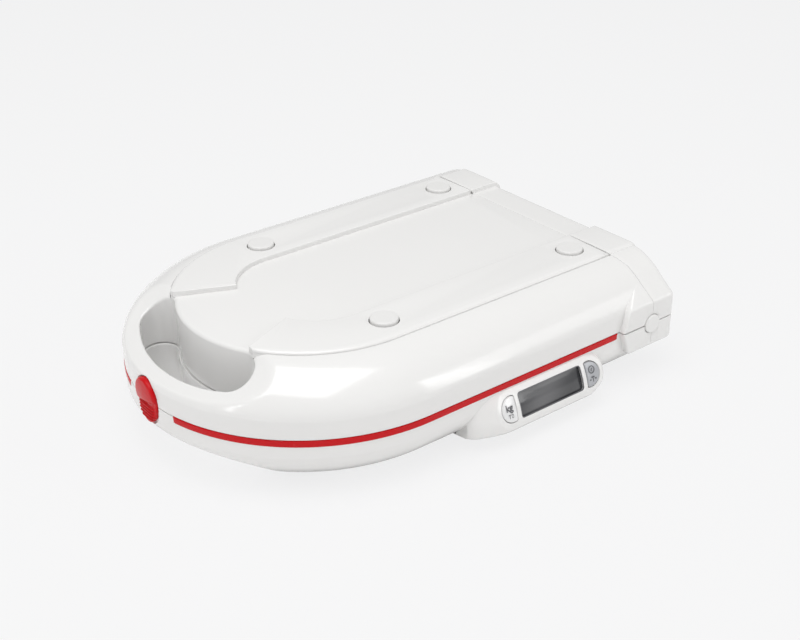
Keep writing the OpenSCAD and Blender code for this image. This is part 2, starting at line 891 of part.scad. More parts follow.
function pod_section() = let(e = face_point(face_r, 1))
    concat([[-105, -5.2]], [for (i = [0:12]) face_point(face_r, i / 12)],
           [e + [1.2, -1.7], e + [4, -3], [-112, -38], [-105, -38]]);
function pod_hollow_section() = let(e = face_point(face_r, 1), w = pod_wall)
    concat([[-105, -7.4]], [for (i = [0:10]) face_point(face_r - w, 0.09 + i * 0.084)],
           [e + [4.4, -0.6], [-112, -38 + w], [-105, -38 + w]]);

module pod_outline(half, r, blend, inset) {
    side = concat([[half + blend, -100], [half + blend, -R]],
                  arc([half - r, -R - 2.4], r, r, 0, -90, 8));
    translate([0, 0, -60]) linear_extrude(70)
        polygon(concat(side, [for (i = [len(side) - 1:-1:0]) [-side[i][0], side[i][1]]]));
}

// Front outline of the housing: it widens downwards.
module pod_front(p) {
    rotate([90, 0, 0]) linear_extrude(far)
        polygon(concat(p, [for (i = [len(p) - 1:-1:0]) [-p[i][0], p[i][1]]]));
}

module pod_bar(section) {
    translate([-90, 0, 0]) rotate([90, 0, 90]) linear_extrude(180) polygon(section);
}

module display_housing() {
    half = pod_half_l;
    color(SHELL_WHITE) {
        difference() {
            translate([pod_x, 0, 0]) difference() {
                intersection() {
                    pod_bar(pod_section());
                    pod_outline(half, 9, 17, 0);
                    pod_front([[half - 6, -4], [half - 4, -6.9], [half + 1, -8.7], [half + 17, -21.6], [half + 20, -45]]);
                }
                intersection() {
                    pod_bar(pod_hollow_section());
                    pod_outline(half - pod_wall, 9 - pod_wall, 0, 0);
                    pod_front([[half - 9, -7.4], [half - 5, -9.5], [half - pod_wall, -12], [half - pod_wall, -45]]);
                }
            }
            lower() straight_part(solid_profile(0), 10, 185);
            on_face() translate([0, 0, -6]) linear_extrude(12) {
                window_outline(0);
                key_outline(1, play);
                key_outline(-1, play);
            }
        }
        on_face() intersection() {
            for (s = [-1, 1]) translate([s * (window_w / 2 + 1.5) - 0.9, -8, board_w]) cube([1.8, 16, 9]);
            crown(pod_wall - 0.2);
        }
    }
}

module window_outline(grow) {
    r = 2;
    w = window_w / 2 + grow - r;
    h = window_h / 2 + grow - r;
    for (sx = [-1, 1], sy = [-1, 1]) translate([sx * w, sy * h]) circle(r = r, $fn = 32);
    square([2 * w, 2 * (h + r)], center = true);
    square([2 * (w + r), 2 * h], center = true);
}

// D-shaped key outline; its flat side faces the window.
module key_outline(side, grow) {
    mirror([side < 0 ? 1 : 0, 0]) intersection() {
        translate([key_u, 0]) circle(r = key_r + grow);
        translate([key_u - key_flat - grow, -far / 2]) square(far);
    }
}

module key(side) {
    on_face() {
        intersection() {
            translate([0, 0, -2]) linear_extrude(8) key_outline(side, 0);
            crown(-0.3);
        }
        translate([0, 0, -3]) linear_extrude(1.2) key_outline(side, 1);
        translate([side * key_u, 0, -4.6]) cylinder(r = 2, h = 2);
    }
}

module unit_key() {
    color(SHELL_WHITE) key(-1);
}

module power_key() {
    color(STEEL) key(1);
}

module display_window() {
    color([0.3, 0.3, 0.32]) on_face() intersection() {
        translate([0, 0, -6]) linear_extrude(12) window_outline(0);
        difference() {
            crown(0);
            crown(1.6);
        }
    }
}

module lcd_module() {
    color([0.6, 0.65, 0.6]) on_face()
        block([-window_w / 2 + 0.4, -window_h / 2 + 0.8, board_w], [window_w / 2 - 0.4, window_h / 2 - 0.8, -1.2]);
}

module display_board() {
    color(BOARD_GREEN) on_face() block([-42, -9.4, board_w - board_t], [42, 9.4, board_w]);
}

module key_switches() {
    color(STEEL) on_face() for (s = [-1, 1]) {
        translate([s * key_u - 3, -3, board_w]) cube([6, 6, 0.6]);
        translate([s * key_u, 0, board_w + 0.5]) cylinder(r = 1.75, h = 0.8);
    }
}

place() upper_shell();
place() upper_base_plate();
place() upper_tray();
place() upper_end_cover();
place() upper_junction_board();
place() latch_keeper();
place() lower_shell();
place() lower_base_plate();
place() color(SHELL_WHITE) lower() common_tray();  // lower_tray
place() lower_end_cover();
place() color(STEEL) common_tray_screws();  // upper_tray_screws
place() color(STEEL) lower() common_tray_screws();  // lower_tray_screws
place() color(STEEL) board_screws(foot_mid_x, junction_size, board_z);  // upper_board_screws
place() color(STEEL) lower() board_screws(main_board_x, main_board_size, board_z);  // lower_board_screws
place() trim_stripe();
place() hinge_pins();
place() side_caps();
place() display_housing();
place() display_window();
place() lcd_module();
place() display_board();
place() key_switches();
place() unit_key();
place() power_key();
place() main_board();
place() battery_box();
place() battery_cells();
place() battery_contacts();
place() battery_door();
place() latch_button();
place() latch_spring();
for (i = [0:3]) {
    place() foot(i);
    place() lower() foot(i);
    place() load_cell(i);
    place() lower() load_cell(i);
}
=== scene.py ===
"""Looks of a folding baby weighing scale, closed like a carrying case.

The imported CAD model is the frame. Every piece that shows is drawn again here with
rounded edges, or keeps its CAD mesh with a procedural finish. All shapes are made in
case coordinates, in millimetres: the origin is the centre of the round front, +X runs
to the hinge, -Y is the display side and z = 0 is the plane where the halves meet.
"""

import logging
import math
from collections.abc import Callable
from dataclasses import dataclass
from enum import Enum

import bmesh
import bpy
import numpy as np
from mathutils import Matrix, Vector


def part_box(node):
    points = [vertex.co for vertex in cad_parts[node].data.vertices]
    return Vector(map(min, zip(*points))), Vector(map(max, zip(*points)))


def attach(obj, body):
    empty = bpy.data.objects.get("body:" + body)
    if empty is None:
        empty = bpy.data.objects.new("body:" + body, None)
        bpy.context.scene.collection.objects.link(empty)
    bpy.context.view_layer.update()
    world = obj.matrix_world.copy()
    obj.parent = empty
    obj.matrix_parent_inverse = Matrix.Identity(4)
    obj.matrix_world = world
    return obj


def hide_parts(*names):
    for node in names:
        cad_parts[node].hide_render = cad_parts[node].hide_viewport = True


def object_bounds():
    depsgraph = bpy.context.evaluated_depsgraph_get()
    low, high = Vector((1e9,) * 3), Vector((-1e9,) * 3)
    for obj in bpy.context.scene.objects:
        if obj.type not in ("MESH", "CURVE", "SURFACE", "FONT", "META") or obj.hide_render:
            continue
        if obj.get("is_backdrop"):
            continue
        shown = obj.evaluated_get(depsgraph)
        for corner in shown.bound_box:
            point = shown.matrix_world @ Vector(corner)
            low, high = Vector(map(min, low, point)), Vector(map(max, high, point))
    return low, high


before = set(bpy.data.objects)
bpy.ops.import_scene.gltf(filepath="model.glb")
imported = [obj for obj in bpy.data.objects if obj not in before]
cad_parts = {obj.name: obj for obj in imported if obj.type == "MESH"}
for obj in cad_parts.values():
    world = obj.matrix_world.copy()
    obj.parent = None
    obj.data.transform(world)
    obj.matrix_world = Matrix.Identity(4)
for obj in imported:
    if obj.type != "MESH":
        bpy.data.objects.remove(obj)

log = logging.getLogger("scene")
MM = 0.001
Points = np.ndarray | list
Values = np.ndarray | float
Triple = tuple[float, float, float]


class Half(Enum):
    """The two halves of the case; the value is the sign of z outwards."""

    UPPER = 1
    LOWER = -1

    @property
    def body(self) -> str:
        """Name of the CAD body that this half rides on."""
        return "upper_case" if self is Half.UPPER else "lower_case"

    @property
    def word(self) -> str:
        """Prefix of this half's CAD nodes."""
        return "upper" if self is Half.UPPER else "lower"


@dataclass(frozen=True)
class CaseShape:
    """Sizes of the case in millimetres; nearly all are those of the CAD source.

    Attributes:
        radius: radius of the round front and half width of the case.
        straight: length from the front's centre to the rear end.
        half: height of one half over the parting plane.
        side: height of the upright side wall.
        shoulder_power: how square the shoulder's curve is; 2 is an ellipse.
        plate_r: radius of the base plate's round front.
        joint: gap between neighbouring pieces.
        parting: half of the gap between the halves.
        seat: height of the ledge under the base plate.
        recess: height of the base plate's recess.
        recess_y: half width of the recess at the hinge end.
        strip_step: height of the rounded edge of the strips.
        strip_edge: width of the rounded edge of the strips.
        hole_in: radius of the hand hole's inner edge.
        hole_out: radius of the hand hole's outer edge.
        hole_angle: degrees from the middle to the centre of the hole's round end.
        bar: height of the handle bar at the front.
        slope_r: radius of the slope from the bar up to the top.
        flange_in: radius of the parting flange's inner edge.
        seam_top: place of the seam at the top.
        seam_mid: place of the seam at the parting plane.
        ear_y: half width over the side pads.
        ear_top: upper outer corner of a side pad, as y and z.
        ear_r: radius of the side pads' round ends.
        cap_r: radius of the side caps.
        foot_mid: middle between the front and the rear feet.
        foot_dx: distance of the feet from there.
        foot_dy: distance of the feet from the middle line.
        foot_r: radius of a foot pad.
        foot_top: height of the feet.
        axis_x: place of the hinge's axis.
    """

    radius: float = 131.0
    straight: float = 223.0
    half: float = 43.0
    side: float = 13.0
    shoulder_power: float = 1.6
    plate_r: float = 96.0
    joint: float = 0.3
    parting: float = 0.3
    seat: float = 36.5
    recess: float = 39.3
    recess_y: float = 55.5
    strip_step: float = 2.0
    strip_edge: float = 4.0
    hole_in: float = 93.0
    hole_out: float = 118.0
    hole_angle: float = 28.6
    bar: float = 18.0
    slope_r: float = 76.0
    flange_in: float = 102.4
    seam_top: float = 193.0
    seam_mid: float = 199.5
    ear_y: float = 135.8
    ear_top: tuple[float, float] = (122.4, 27.8)
    ear_r: float = 28.0
    cap_r: float = 7.0
    foot_mid: float = 91.0
    foot_dx: float = 84.0
    foot_dy: float = 74.3
    foot_r: float = 9.5
    foot_top: float = 45.2
    axis_x: float = 223.3

    @property
    def shoulder_r(self) -> float:
        """Radius where the shoulder meets the gap round the base plate."""
        return self.plate_r + self.joint

    @property
    def hole_mid(self) -> float:
        """Radius of the middle line of the hand hole."""
        return (self.hole_in + self.hole_out) / 2

    @property
    def hole_half(self) -> float:
        """Half width of the hand hole."""
        return (self.hole_out - self.hole_in) / 2

    def seam_x(self, z: Values) -> Values:
        """Place of the slanted seam between shell and end cover.

        Args:
            z: heights over the parting plane.

        Returns:
            The places along the case.
        """
        span = self.seam_mid - self.seam_top
        bends, shares = (15.0, 28.0, 37.0, self.half), (0.0, 0.18, 0.34, 1.0)
        return self.seam_mid - span * np.interp(np.abs(z), bends, shares)

    def shoulder(self, distance: Values, width: float, height: float) -> Values:
        """Height of the rounded shoulder over the side wall, at a distance from its inner edge."""
        q = np.clip(np.asarray(distance, dtype=float) / width, 0, 1)
        return height * (1 - q**self.shoulder_power) ** (1 / self.shoulder_power)


CASE = CaseShape()


def case_origin() -> np.ndarray:
    """Place of the case coordinates' origin in the row frame, read from the feet.

    Returns:
        A vector in metres.
    """
    boxes = [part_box(f"{h}_foot_{i}") for h in ("upper", "lower") for i in range(1, 5)]
    lows = np.array([list(b[0]) for b in boxes])
    highs = np.array([list(b[1]) for b in boxes])
    mid = (lows.min(axis=0) + highs.max(axis=0)) / 2
    return np.array([mid[0] - CASE.foot_mid * MM, mid[1], mid[2]])


ORIGIN = case_origin()


def placed(points: Points) -> np.ndarray:
    """Case coordinates in millimetres to row coordinates in metres.

    Args:
        points: an array whose last axis is x, y, z.

    Returns:
        An array of the same shape, in metres.
    """
    return np.asarray(points, dtype=float) * MM + ORIGIN


# ---------------------------------------------------------------- small maths


def arc(cx: float, cy: float, rx: float, ry: float, start: float, end: float, count: int) -> np.ndarray:
    """Points of an elliptical arc, angles in degrees, both ends included."""
    t = np.radians(np.linspace(start, end, count))
    return np.stack([cx + rx * np.cos(t), cy + ry * np.sin(t)], axis=1)


def ray(angle: float) -> np.ndarray:
    """Unit vector in plan, at an angle in radians from -X towards +Y."""
    return np.array([-math.cos(angle), math.sin(angle)])


def smooth_min(a: Values, b: Values, k: float) -> Values:
    """The smaller of two values with a rounded crease of width k."""
    h = np.clip(0.5 + 0.5 * (b - a) / k, 0, 1)
    return b * (1 - h) + a * h - k * h * (1 - h)


def smooth_step(low: float, high: float, value: Values) -> Values:
    """0 below low, 1 above high and an even curve between."""
    t = np.clip((np.asarray(value, dtype=float) - low) / (high - low), 0, 1)
    return t * t * (3 - 2 * t)


def rounding(distance: Values, radius: float) -> Values:
    """How far a rounded edge lies below its flat top, at a distance from the rim."""
    d = np.clip(distance, 0, radius)
    return radius - np.sqrt(np.maximum(radius**2 - (radius - d) ** 2, 0))


def hole_distance(x: Values, y: Values) -> Values:
    """Distance in plan from the rim of the hand hole, positive outside it.

    Args:
        x: places along the case.
        y: places across the case.

    Returns:
        The distances.
    """
    r = np.hypot(x, y)
    theta = np.degrees(np.arctan2(np.abs(y), -x))
    cx = -CASE.hole_mid * math.cos(math.radians(CASE.hole_angle))
    cy = CASE.hole_mid * math.sin(math.radians(CASE.hole_angle))
    ends = np.hypot(x - cx, np.abs(y) - cy) - CASE.hole_half
    ring = np.abs(r - CASE.hole_mid) - CASE.hole_half
    return np.where(theta < CASE.hole_angle, ring, ends)


def plan_radius(x: Values, y: Values) -> Values:
    """Distance from the case's middle line, or from the round front's centre."""
    return np.where(x < 0, np.hypot(x, y), np.abs(y))


def shell_height(x: np.ndarray, y: np.ndarray) -> np.ndarray:
    """Height of the shell's top surface before its edges are rounded.

    Args:
        x: places along the case.
        y: places across the case.

    Returns:
        The heights.
    """
    c = CASE
    a, b = c.radius - c.shoulder_r, c.half - c.strip_step - c.side
    shoulder = c.side + c.shoulder(plan_radius(x, y) - c.shoulder_r, a, b)
    run = np.clip(x + c.radius, 0, c.slope_r - 0.01)
    slope = c.bar + c.slope_r - np.sqrt(c.slope_r**2 - run**2)
    return smooth_min(shoulder, np.where(x + c.radius < c.slope_r - 1, slope, 99.0), 2.4)


def filleted(points: list, radii: list, steps: int = 5) -> np.ndarray:
    """An open line of 2-D points with its corners rounded.

    Args:
        points: the corners.
        radii: one radius for each corner; those of the ends aren't used.
        steps: number of segments of each rounding.

    Returns:
        An array of points.
    """
    points = [np.array(p, dtype=float) for p in points]
    line = [points[0]]
    for before, here, after, r in zip(points, points[1:], points[2:], radii[1:]):
        u, v = before - here, after - here
        lu, lv = np.linalg.norm(u), np.linalg.norm(v)
        u, v = u / lu, v / lv
        angle = math.acos(max(-1.0, min(1.0, float(u @ v))))
        if r <= 0 or angle > math.pi - 0.02:
            line.append(here)
            continue
        reach = min(r / math.tan(angle / 2), 0.49 * lu, 0.49 * lv)
        start, end = here + u * reach, here + v * reach
        for t in np.linspace(0, 1, steps + 1):
            line.append((1 - t) ** 2 * start + 2 * t * (1 - t) * here + t * t * end)
    line.append(points[-1])
    return np.array(line)


def line_normals(points: Points, closed: bool = False) -> np.ndarray:
    """Unit normals to the left of a 2-D line, one for each point.

    Args:
        points: the points.
        closed: joins the last point to the first.

    Returns:
        The unit normals.
    """
    p = np.asarray(points, dtype=float)
    if closed:
        d = np.roll(p, -1, axis=0) - np.roll(p, 1, axis=0)
    else:
        d = np.gradient(p, axis=0)
    n = np.stack([-d[:, 1], d[:, 0]], axis=1)
    return n / np.maximum(np.linalg.norm(n, axis=1, keepdims=True), 1e-9)


def spaced(points: Points, step: float, closed: bool = False) -> np.ndarray:
    """The same line with extra points, so that none lie further apart than step.

    Args:
        points: the points.
        step: the largest distance.
        closed: joins the last point to the first.

    Returns:
        The line with its extra points.
    """
    p = [np.asarray(q, dtype=float) for q in points]
    pairs = list(zip(p, p[1:] + p[:1])) if closed else list(zip(p, p[1:]))
    out = []
    for a, b in pairs:
        n = max(1, int(math.ceil(np.linalg.norm(b - a) / step)))
        out.extend(a + (b - a) * i / n for i in range(n))
    if not closed:
        out.append(p[-1])
    return np.array(out)


# ---------------------------------------------------------------- mesh building


class Shape:
    """Collects surfaces in case coordinates and makes one mesh object of them."""

    def __init__(self, name: str) -> None:
        """Starts an empty shape.

        Args:
            name: the object's name.
        """
        self.name = name
        self.points = []
        self.faces = []

    def add(self, points: Points) -> int:
        """Adds points.

        Args:
            points: the points.

        Returns:
            Index of the first point.
        """
        first = len(self.points)
        self.points.extend(np.asarray(points, dtype=float).reshape(-1, 3).tolist())
        return first

    def grid(self, rows: Points, closed_columns: bool = False, away: Callable | None = None) -> "Shape":
        """A surface through rows of points, each with the same number of points.

        Args:
            rows: the rows of points.
            closed_columns: joins each row's last point to its first.
            away: gives the way that the surface faces, from its faces' centres.

        Returns:
            The shape itself.
        """
        rows = np.asarray(rows, dtype=float)
        n, m = rows.shape[0], rows.shape[1]
        first, start = self.add(rows), len(self.faces)
        for i in range(n - 1):
            for j in range(m if closed_columns else m - 1):
                a, b = first + i * m + j, first + i * m + (j + 1) % m
                c, d = first + (i + 1) * m + (j + 1) % m, first + (i + 1) * m + j
                self.faces.append((a, b, c, d))
        if away is not None:
            quads = np.array(self.points)[np.array(self.faces[start:])]
            normals = np.cross(quads[:, 2] - quads[:, 0], quads[:, 3] - quads[:, 1])
            if float(np.sum(normals * away(quads.mean(axis=1)))) < 0:
                self.faces[start:] = [f[::-1] for f in self.faces[start:]]
        return self

    def flat(self, ring: Points, flip: bool = False) -> "Shape":
        """One flat face inside a closed ring of points.

        Args:
            ring: closed outline.
            flip: turns the face over.

        Returns:
            The shape itself.
        """
        first = self.add(ring)
        face = list(range(first, first + len(ring)))
        self.faces.append(tuple(reversed(face)) if flip else tuple(face))
        return self

    def lathe(self, profile: list, centre: Triple, axis: str = "Z", segments: int = 64) -> "Shape":
        """A turned surface.

        Args:
            profile: (radius, height) points along the axis.
            centre: where the axis's zero height lies.
            axis: "Y" or "Z".
            segments: number of steps round.

        Returns:
            The shape itself.
        """
        t = np.linspace(0, 2 * math.pi, segments, endpoint=False)
        rows = []
        for r, h in profile:
            ring = np.stack([r * np.cos(t), r * np.sin(t), np.full_like(t, h)], axis=1)
            if axis == "Y":
                ring = ring[:, [1, 2, 0]]
            rows.append(ring + np.asarray(centre, dtype=float))
        return self.grid(rows, closed_columns=True)

    def sweep_box(self, low: Triple, high: Triple, edge: float = 0.5) -> "Shape":
        """A box with rounded edges, made from a bevelled cube.

        Args:
            low: its lower corner.
            high: its upper corner.
            edge: radius of the edges.

        Returns:
            The shape itself.
        """
        low, high = np.asarray(low, float), np.asarray(high, float)
        bm = bmesh.new()
        bmesh.ops.create_cube(bm, size=1)
        for v in bm.verts:
            v.co = Vector(((low + high) / 2 + (high - low) * np.array(v.co)).tolist())
        bmesh.ops.bevel(bm, geom=list(bm.edges), offset=edge, segments=3, profile=0.5, affect="EDGES")
        bm.verts.index_update()
        first = self.add([list(v.co) for v in bm.verts])
        self.faces.extend(tuple(first + v.index for v in f.verts) for f in bm.faces)
        bm.free()
        return self

    def build(
        self,
        finish: bpy.types.Material,
        half: Half | None = None,
        body: str | None = None,
        node: str | list | None = None,
        weld: float = 0.004,
        recalc: bool = True,
        angle: float = 38,
    ) -> bpy.types.Object:
        """Makes the mesh object, gives it its finish and ties it to the frame.

        Args:
            finish: the material.
            half: the half that it is mirrored for; None leaves it as drawn.
            body: CAD body it rides on, or the half's own.
            node: CAD nodes that it stands for: one name or a list.
            weld: points closer than this, in millimetres, become one.
            recalc: turn all faces outwards.
            angle: edges sharper than this many degrees stay sharp.

        Returns:
            The object.
        """
        p = np.array(self.points)
        if half is Half.LOWER:
            p[:, 2] *= -1
        mesh = bpy.data.meshes.new(self.name)
        mesh.from_pydata(placed(p).tolist(), [], self.faces)
        bm = bmesh.new()
        bm.from_mesh(mesh)
        bmesh.ops.remove_doubles(bm, verts=bm.verts, dist=weld * MM)
        bmesh.ops.dissolve_degenerate(bm, edges=bm.edges, dist=1e-7)
        if recalc:
            bmesh.ops.recalc_face_normals(bm, faces=bm.faces)
        elif half is Half.LOWER:
            bmesh.ops.reverse_faces(bm, faces=bm.faces)
        bm.to_mesh(mesh)
        bm.free()
        obj = linked(f"{self.name}_form", mesh)
        mesh.materials.append(finish)
        smooth(obj, angle)
        tie(obj, body or (half.body if half else "lower_case"), node)
        log.info("%s: %d faces", self.name, len(mesh.polygons))
        return obj


def linked(name: str, data: bpy.types.ID) -> bpy.types.Object:
    """A new object with this data, linked to the scene.

    Args:
        name: the object's name.
        data: its mesh, curve, camera or light.

    Returns:
        The object.
    """
    obj = bpy.data.objects.new(name, data)
    bpy.context.scene.collection.objects.link(obj)
    return obj


def discard(obj: bpy.types.Object) -> None:
    """Removes a mesh object and its mesh.

    Args:
        obj: the object.
    """
    data = obj.data
    bpy.data.objects.remove(obj)
    bpy.data.meshes.remove(data)


def smooth(obj: bpy.types.Object, angle: float) -> None:
    """Shades a mesh smooth, apart from edges sharper than an angle in degrees."""
    obj.data.shade_smooth()
    obj.data.set_sharp_from_angle(angle=math.radians(angle))


def tie(obj: bpy.types.Object, body: str, node: str | list | None = None) -> None:
    """Lets an object ride on a CAD body and stand for CAD nodes.

    Args:
        obj: the object.
        body: the CAD body.
        node: the CAD nodes that it stands for: one name or a list.
    """
    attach(obj, body)
    if node:
        nodes = [node] if isinstance(node, str) else list(node)
        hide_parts(*nodes)


def cut(obj: bpy.types.Object, cutters: list, angle: float = 38) -> None:
    """Takes closed cutter objects away from a closed object, and removes them.

    Args:
        obj: the object that is cut.
        cutters: closed mesh objects in row coordinates, not tied to the frame.
        angle: edges sharper than this many degrees stay sharp.
    """
    for cutter in cutters:
        mod = obj.modifiers.new("cut", "BOOLEAN")
        mod.operation, mod.solver, mod.object = "DIFFERENCE", "EXACT", cutter
    deps = bpy.context.evaluated_depsgraph_get()
    mesh = bpy.data.meshes.new_from_object(obj.evaluated_get(deps))
    old = obj.data
    obj.modifiers.clear()
    obj.data = mesh
    mesh.name = old.name
    bpy.data.meshes.remove(old)
    for cutter in cutters:
        discard(cutter)
    smooth(obj, angle)


def absorb(obj: bpy.types.Object, other: bpy.types.Object) -> None:
    """Adds another object's mesh to an object, and removes the other one.

    Args:
        obj: the object.
        other: the object that is added.
    """
    bm = bmesh.new()
    bm.from_mesh(obj.data)
    bm.from_mesh(other.data)
    bm.to_mesh(obj.data)
    bm.free()
    discard(other)


def cutter_of(shape: Shape, half: Half | None = None) -> bpy.types.Object:
    """A helper mesh object of a shape, which cuts or is joined to another object.

    Args:
        shape: the closed shape.
        half: the half that it is mirrored for.

    Returns:
        The object.
    """
    p = np.array(shape.points)
    if half is Half.LOWER:
        p[:, 2] *= -1
    mesh = bpy.data.meshes.new(shape.name)
    mesh.from_pydata(placed(p).tolist(), [], shape.faces)
    bm = bmesh.new()
    bm.from_mesh(mesh)
    bmesh.ops.remove_doubles(bm, verts=bm.verts, dist=0.004 * MM)
    bmesh.ops.recalc_face_normals(bm, faces=bm.faces)
    bm.to_mesh(mesh)
    bm.free()
    return linked(shape.name, mesh)


# ---------------------------------------------------------------- finishes


@dataclass(frozen=True)
class Finish:
    """A moulded or metal surface, made of noise in object coordinates.

    Attributes:
        name: the material's name.
        color: its base colour.
        roughness: its middle roughness.
        metallic: 1 for bare metal.
        coat: weight of the gloss coat.
        mottle: share by which the colour darkens in patches.
        grain: height of the fine grain in millimetres.
        grain_scale: how fine the grain is.
        waves: height of the wall's waviness in millimetres.
        specular: strength of the highlight.
    """

    name: str
    color: Triple
    roughness: float = 0.25
    metallic: float = 0.0
    coat: float = 0.0
    mottle: float = 0.02
    grain: float = 0.0
    grain_scale: float = 900.0
    waves: float = 0.0
    specular: float = 0.5

    def make(self) -> bpy.types.Material:
        """Makes the node material.

        Returns:
            The material.
        """
        mat = bpy.data.materials.new(self.name)
        mat.use_nodes = True
        tree = mat.node_tree
        shader = tree.nodes["Principled BSDF"]
        shader.inputs["Metallic"].default_value = self.metallic
        shader.inputs["Specular IOR Level"].default_value = self.specular
        shader.inputs["Coat Weight"].default_value = self.coat
        shader.inputs["Coat Roughness"].default_value = 0.06
        coords = tree.nodes.new("ShaderNodeTexCoord")
        broad = self.noise(tree, coords, 14.0, 3.0)
        shade = tree.nodes.new("ShaderNodeMapRange")
        shade.inputs["To Min"].default_value = 1 - self.mottle
        shade.inputs["To Max"].default_value = 1.0
        tree.links.new(broad.outputs["Fac"], shade.inputs["Value"])
        tint = tree.nodes.new("ShaderNodeVectorMath")
        tint.operation = "SCALE"
        tint.inputs[0].default_value = self.color[:3]
        tree.links.new(shade.outputs["Result"], tint.inputs["Scale"])
        tree.links.new(tint.outputs["Vector"], shader.inputs["Base Color"])
        rough = tree.nodes.new("ShaderNodeMapRange")
        rough.inputs["To Min"].default_value = self.roughness * 0.88
        rough.inputs["To Max"].default_value = self.roughness * 1.14
        patches = self.noise(tree, coords, 55.0, 4.0)
        tree.links.new(patches.outputs["Fac"], rough.inputs["Value"])
        tree.links.new(rough.outputs["Result"], shader.inputs["Roughness"])
        self.relief(tree, coords, shader)
        return mat

    def noise(
        self,
        tree: bpy.types.NodeTree,
        coords: bpy.types.Node,
        scale: float,
        detail: float,
    ) -> bpy.types.Node:
        """A noise texture in object coordinates.

        Args:
            tree: the material's node tree.
            coords: the texture coordinate node.
            scale: scale of the noise.
            detail: detail of the noise.

        Returns:
            The texture node.
        """
        node = tree.nodes.new("ShaderNodeTexNoise")
        node.inputs["Scale"].default_value = scale
        node.inputs["Detail"].default_value = detail
        tree.links.new(coords.outputs["Object"], node.inputs["Vector"])
        return node

    def relief(self, tree: bpy.types.NodeTree, coords: bpy.types.Node, shader: bpy.types.Node) -> None:
        """Fine grain and the slight waviness of a moulded wall, as bumps.

        Args:
            tree: the material's node tree.
            coords: the texture coordinate node.
            shader: the shader node.
        """
        last = None
        for amount, scale in ((self.waves, 9.0), (self.grain, self.grain_scale)):
            if not amount:
                continue
            bump = tree.nodes.new("ShaderNodeBump")
            bump.inputs["Strength"].default_value = 1.0
            bump.inputs["Distance"].default_value = amount * MM
            source = self.noise(tree, coords, scale, 1.0)
            tree.links.new(source.outputs["Fac"], bump.inputs["Height"])
            if last:
                tree.links.new(last.outputs["Normal"], bump.inputs["Normal"])
            last = bump
        if last:
            tree.links.new(last.outputs["Normal"], shader.inputs["Normal"])


class Finishes:
    """All materials of the scale, made once."""

    def __init__(self) -> None:
        """Makes each finish."""
        white = (0.80, 0.795, 0.785)
        self.shell = Finish("shell_white", white, 0.17, coat=0.3, waves=0.04).make()
        self.plate = Finish("plate_white", white, 0.24, coat=0.15, waves=0.03).make()
        self.tray = Finish("tray_white", (0.82, 0.815, 0.81), 0.24, coat=0.15, waves=0.03).make()
        self.foot = Finish("foot_white", (0.76, 0.755, 0.745), 0.42, grain=0.01).make()
        red = (0.56, 0.002, 0.006)
        self.red = Finish("trim_red", red, 0.26, mottle=0.04, grain=0.003, specular=0.22).make()
        self.key_white = Finish("key_white", (0.78, 0.78, 0.78), 0.16, coat=0.5).make()
        silver = (0.42, 0.43, 0.45)
        self.key_silver = Finish("key_silver", silver, 0.3, 0.35, coat=0.3, grain=0.004).make()
        self.steel = Finish("steel", (0.55, 0.56, 0.58), 0.32, metallic=1.0, grain=0.004).make()
        self.green = Finish("board_green", (0.02, 0.16, 0.06), 0.35, mottle=0.3).make()
        self.grey = Finish("inner_grey", (0.4, 0.4, 0.4), 0.5, grain=0.01).make()
        self.jacket = Finish("cell_jacket", (0.12, 0.14, 0.17), 0.3, metallic=0.4).make()
        self.print = Finish("print_grey", (0.12, 0.12, 0.13), 0.5).make()
        self.window = window_material()


def window_material() -> bpy.types.Material:
    """Smoked display window over a grey panel, with a paler slanting band painted in as a reflection.

    Returns:
        The material.
    """
    mat = Finish("window_dark", (0.06, 0.06, 0.066), 0.14, coat=0.5, mottle=0.1).make()
    tree = mat.node_tree
    shader = tree.nodes["Principled BSDF"]
    coords = next(n for n in tree.nodes if n.bl_idname == "ShaderNodeTexCoord")
    turn = tree.nodes.new("ShaderNodeMapping")
    turn.inputs["Rotation"].default_value = (0, math.radians(-38), 0)
    turn.inputs["Scale"].default_value = (22.0, 22.0, 22.0)
    tree.links.new(coords.outputs["Object"], turn.inputs["Vector"])
    # Painted reflection: a slanting wave band lightens the glass's colour where a mirrored light would
    # fall.
    painted_reflection_band = tree.nodes.new("ShaderNodeTexWave")
    painted_reflection_band.inputs["Scale"].default_value = 0.32
    painted_reflection_band.inputs["Distortion"].default_value = 0.6
    painted_reflection_band.inputs["Detail"].default_value = 1.0
    tree.links.new(turn.outputs["Vector"], painted_reflection_band.inputs["Vector"])
    glass_and_reflection_ramp = tree.nodes.new("ShaderNodeValToRGB")
    # The darker end is the glass's own colour; the paler end is the painted reflection.
    glass_and_reflection_ramp.color_ramp.elements[0].color = (0.042, 0.043, 0.047, 1)
    glass_and_reflection_ramp.color_ramp.elements[1].color = (0.115, 0.115, 0.12, 1)
    tree.links.new(painted_reflection_band.outputs["Fac"], glass_and_reflection_ramp.inputs["Fac"])
    tree.links.new(glass_and_reflection_ramp.outputs["Color"], shader.inputs["Base Color"])
    return mat


# ---------------------------------------------------------------- case halves


@dataclass
class PlanRow:
    """One row of a shell: it runs from the inner rim outwards in plan.

    Attributes:
        inner: its inner end.
        outer: its outer end, on the side wall.
        over_hole: the row starts at the hand hole and not at the base plate.
        run: share of the way to the seam, or -1 on the round front.
    """

    inner: np.ndarray
    outer: np.ndarray
    over_hole: bool = False
    run: float = -1.0


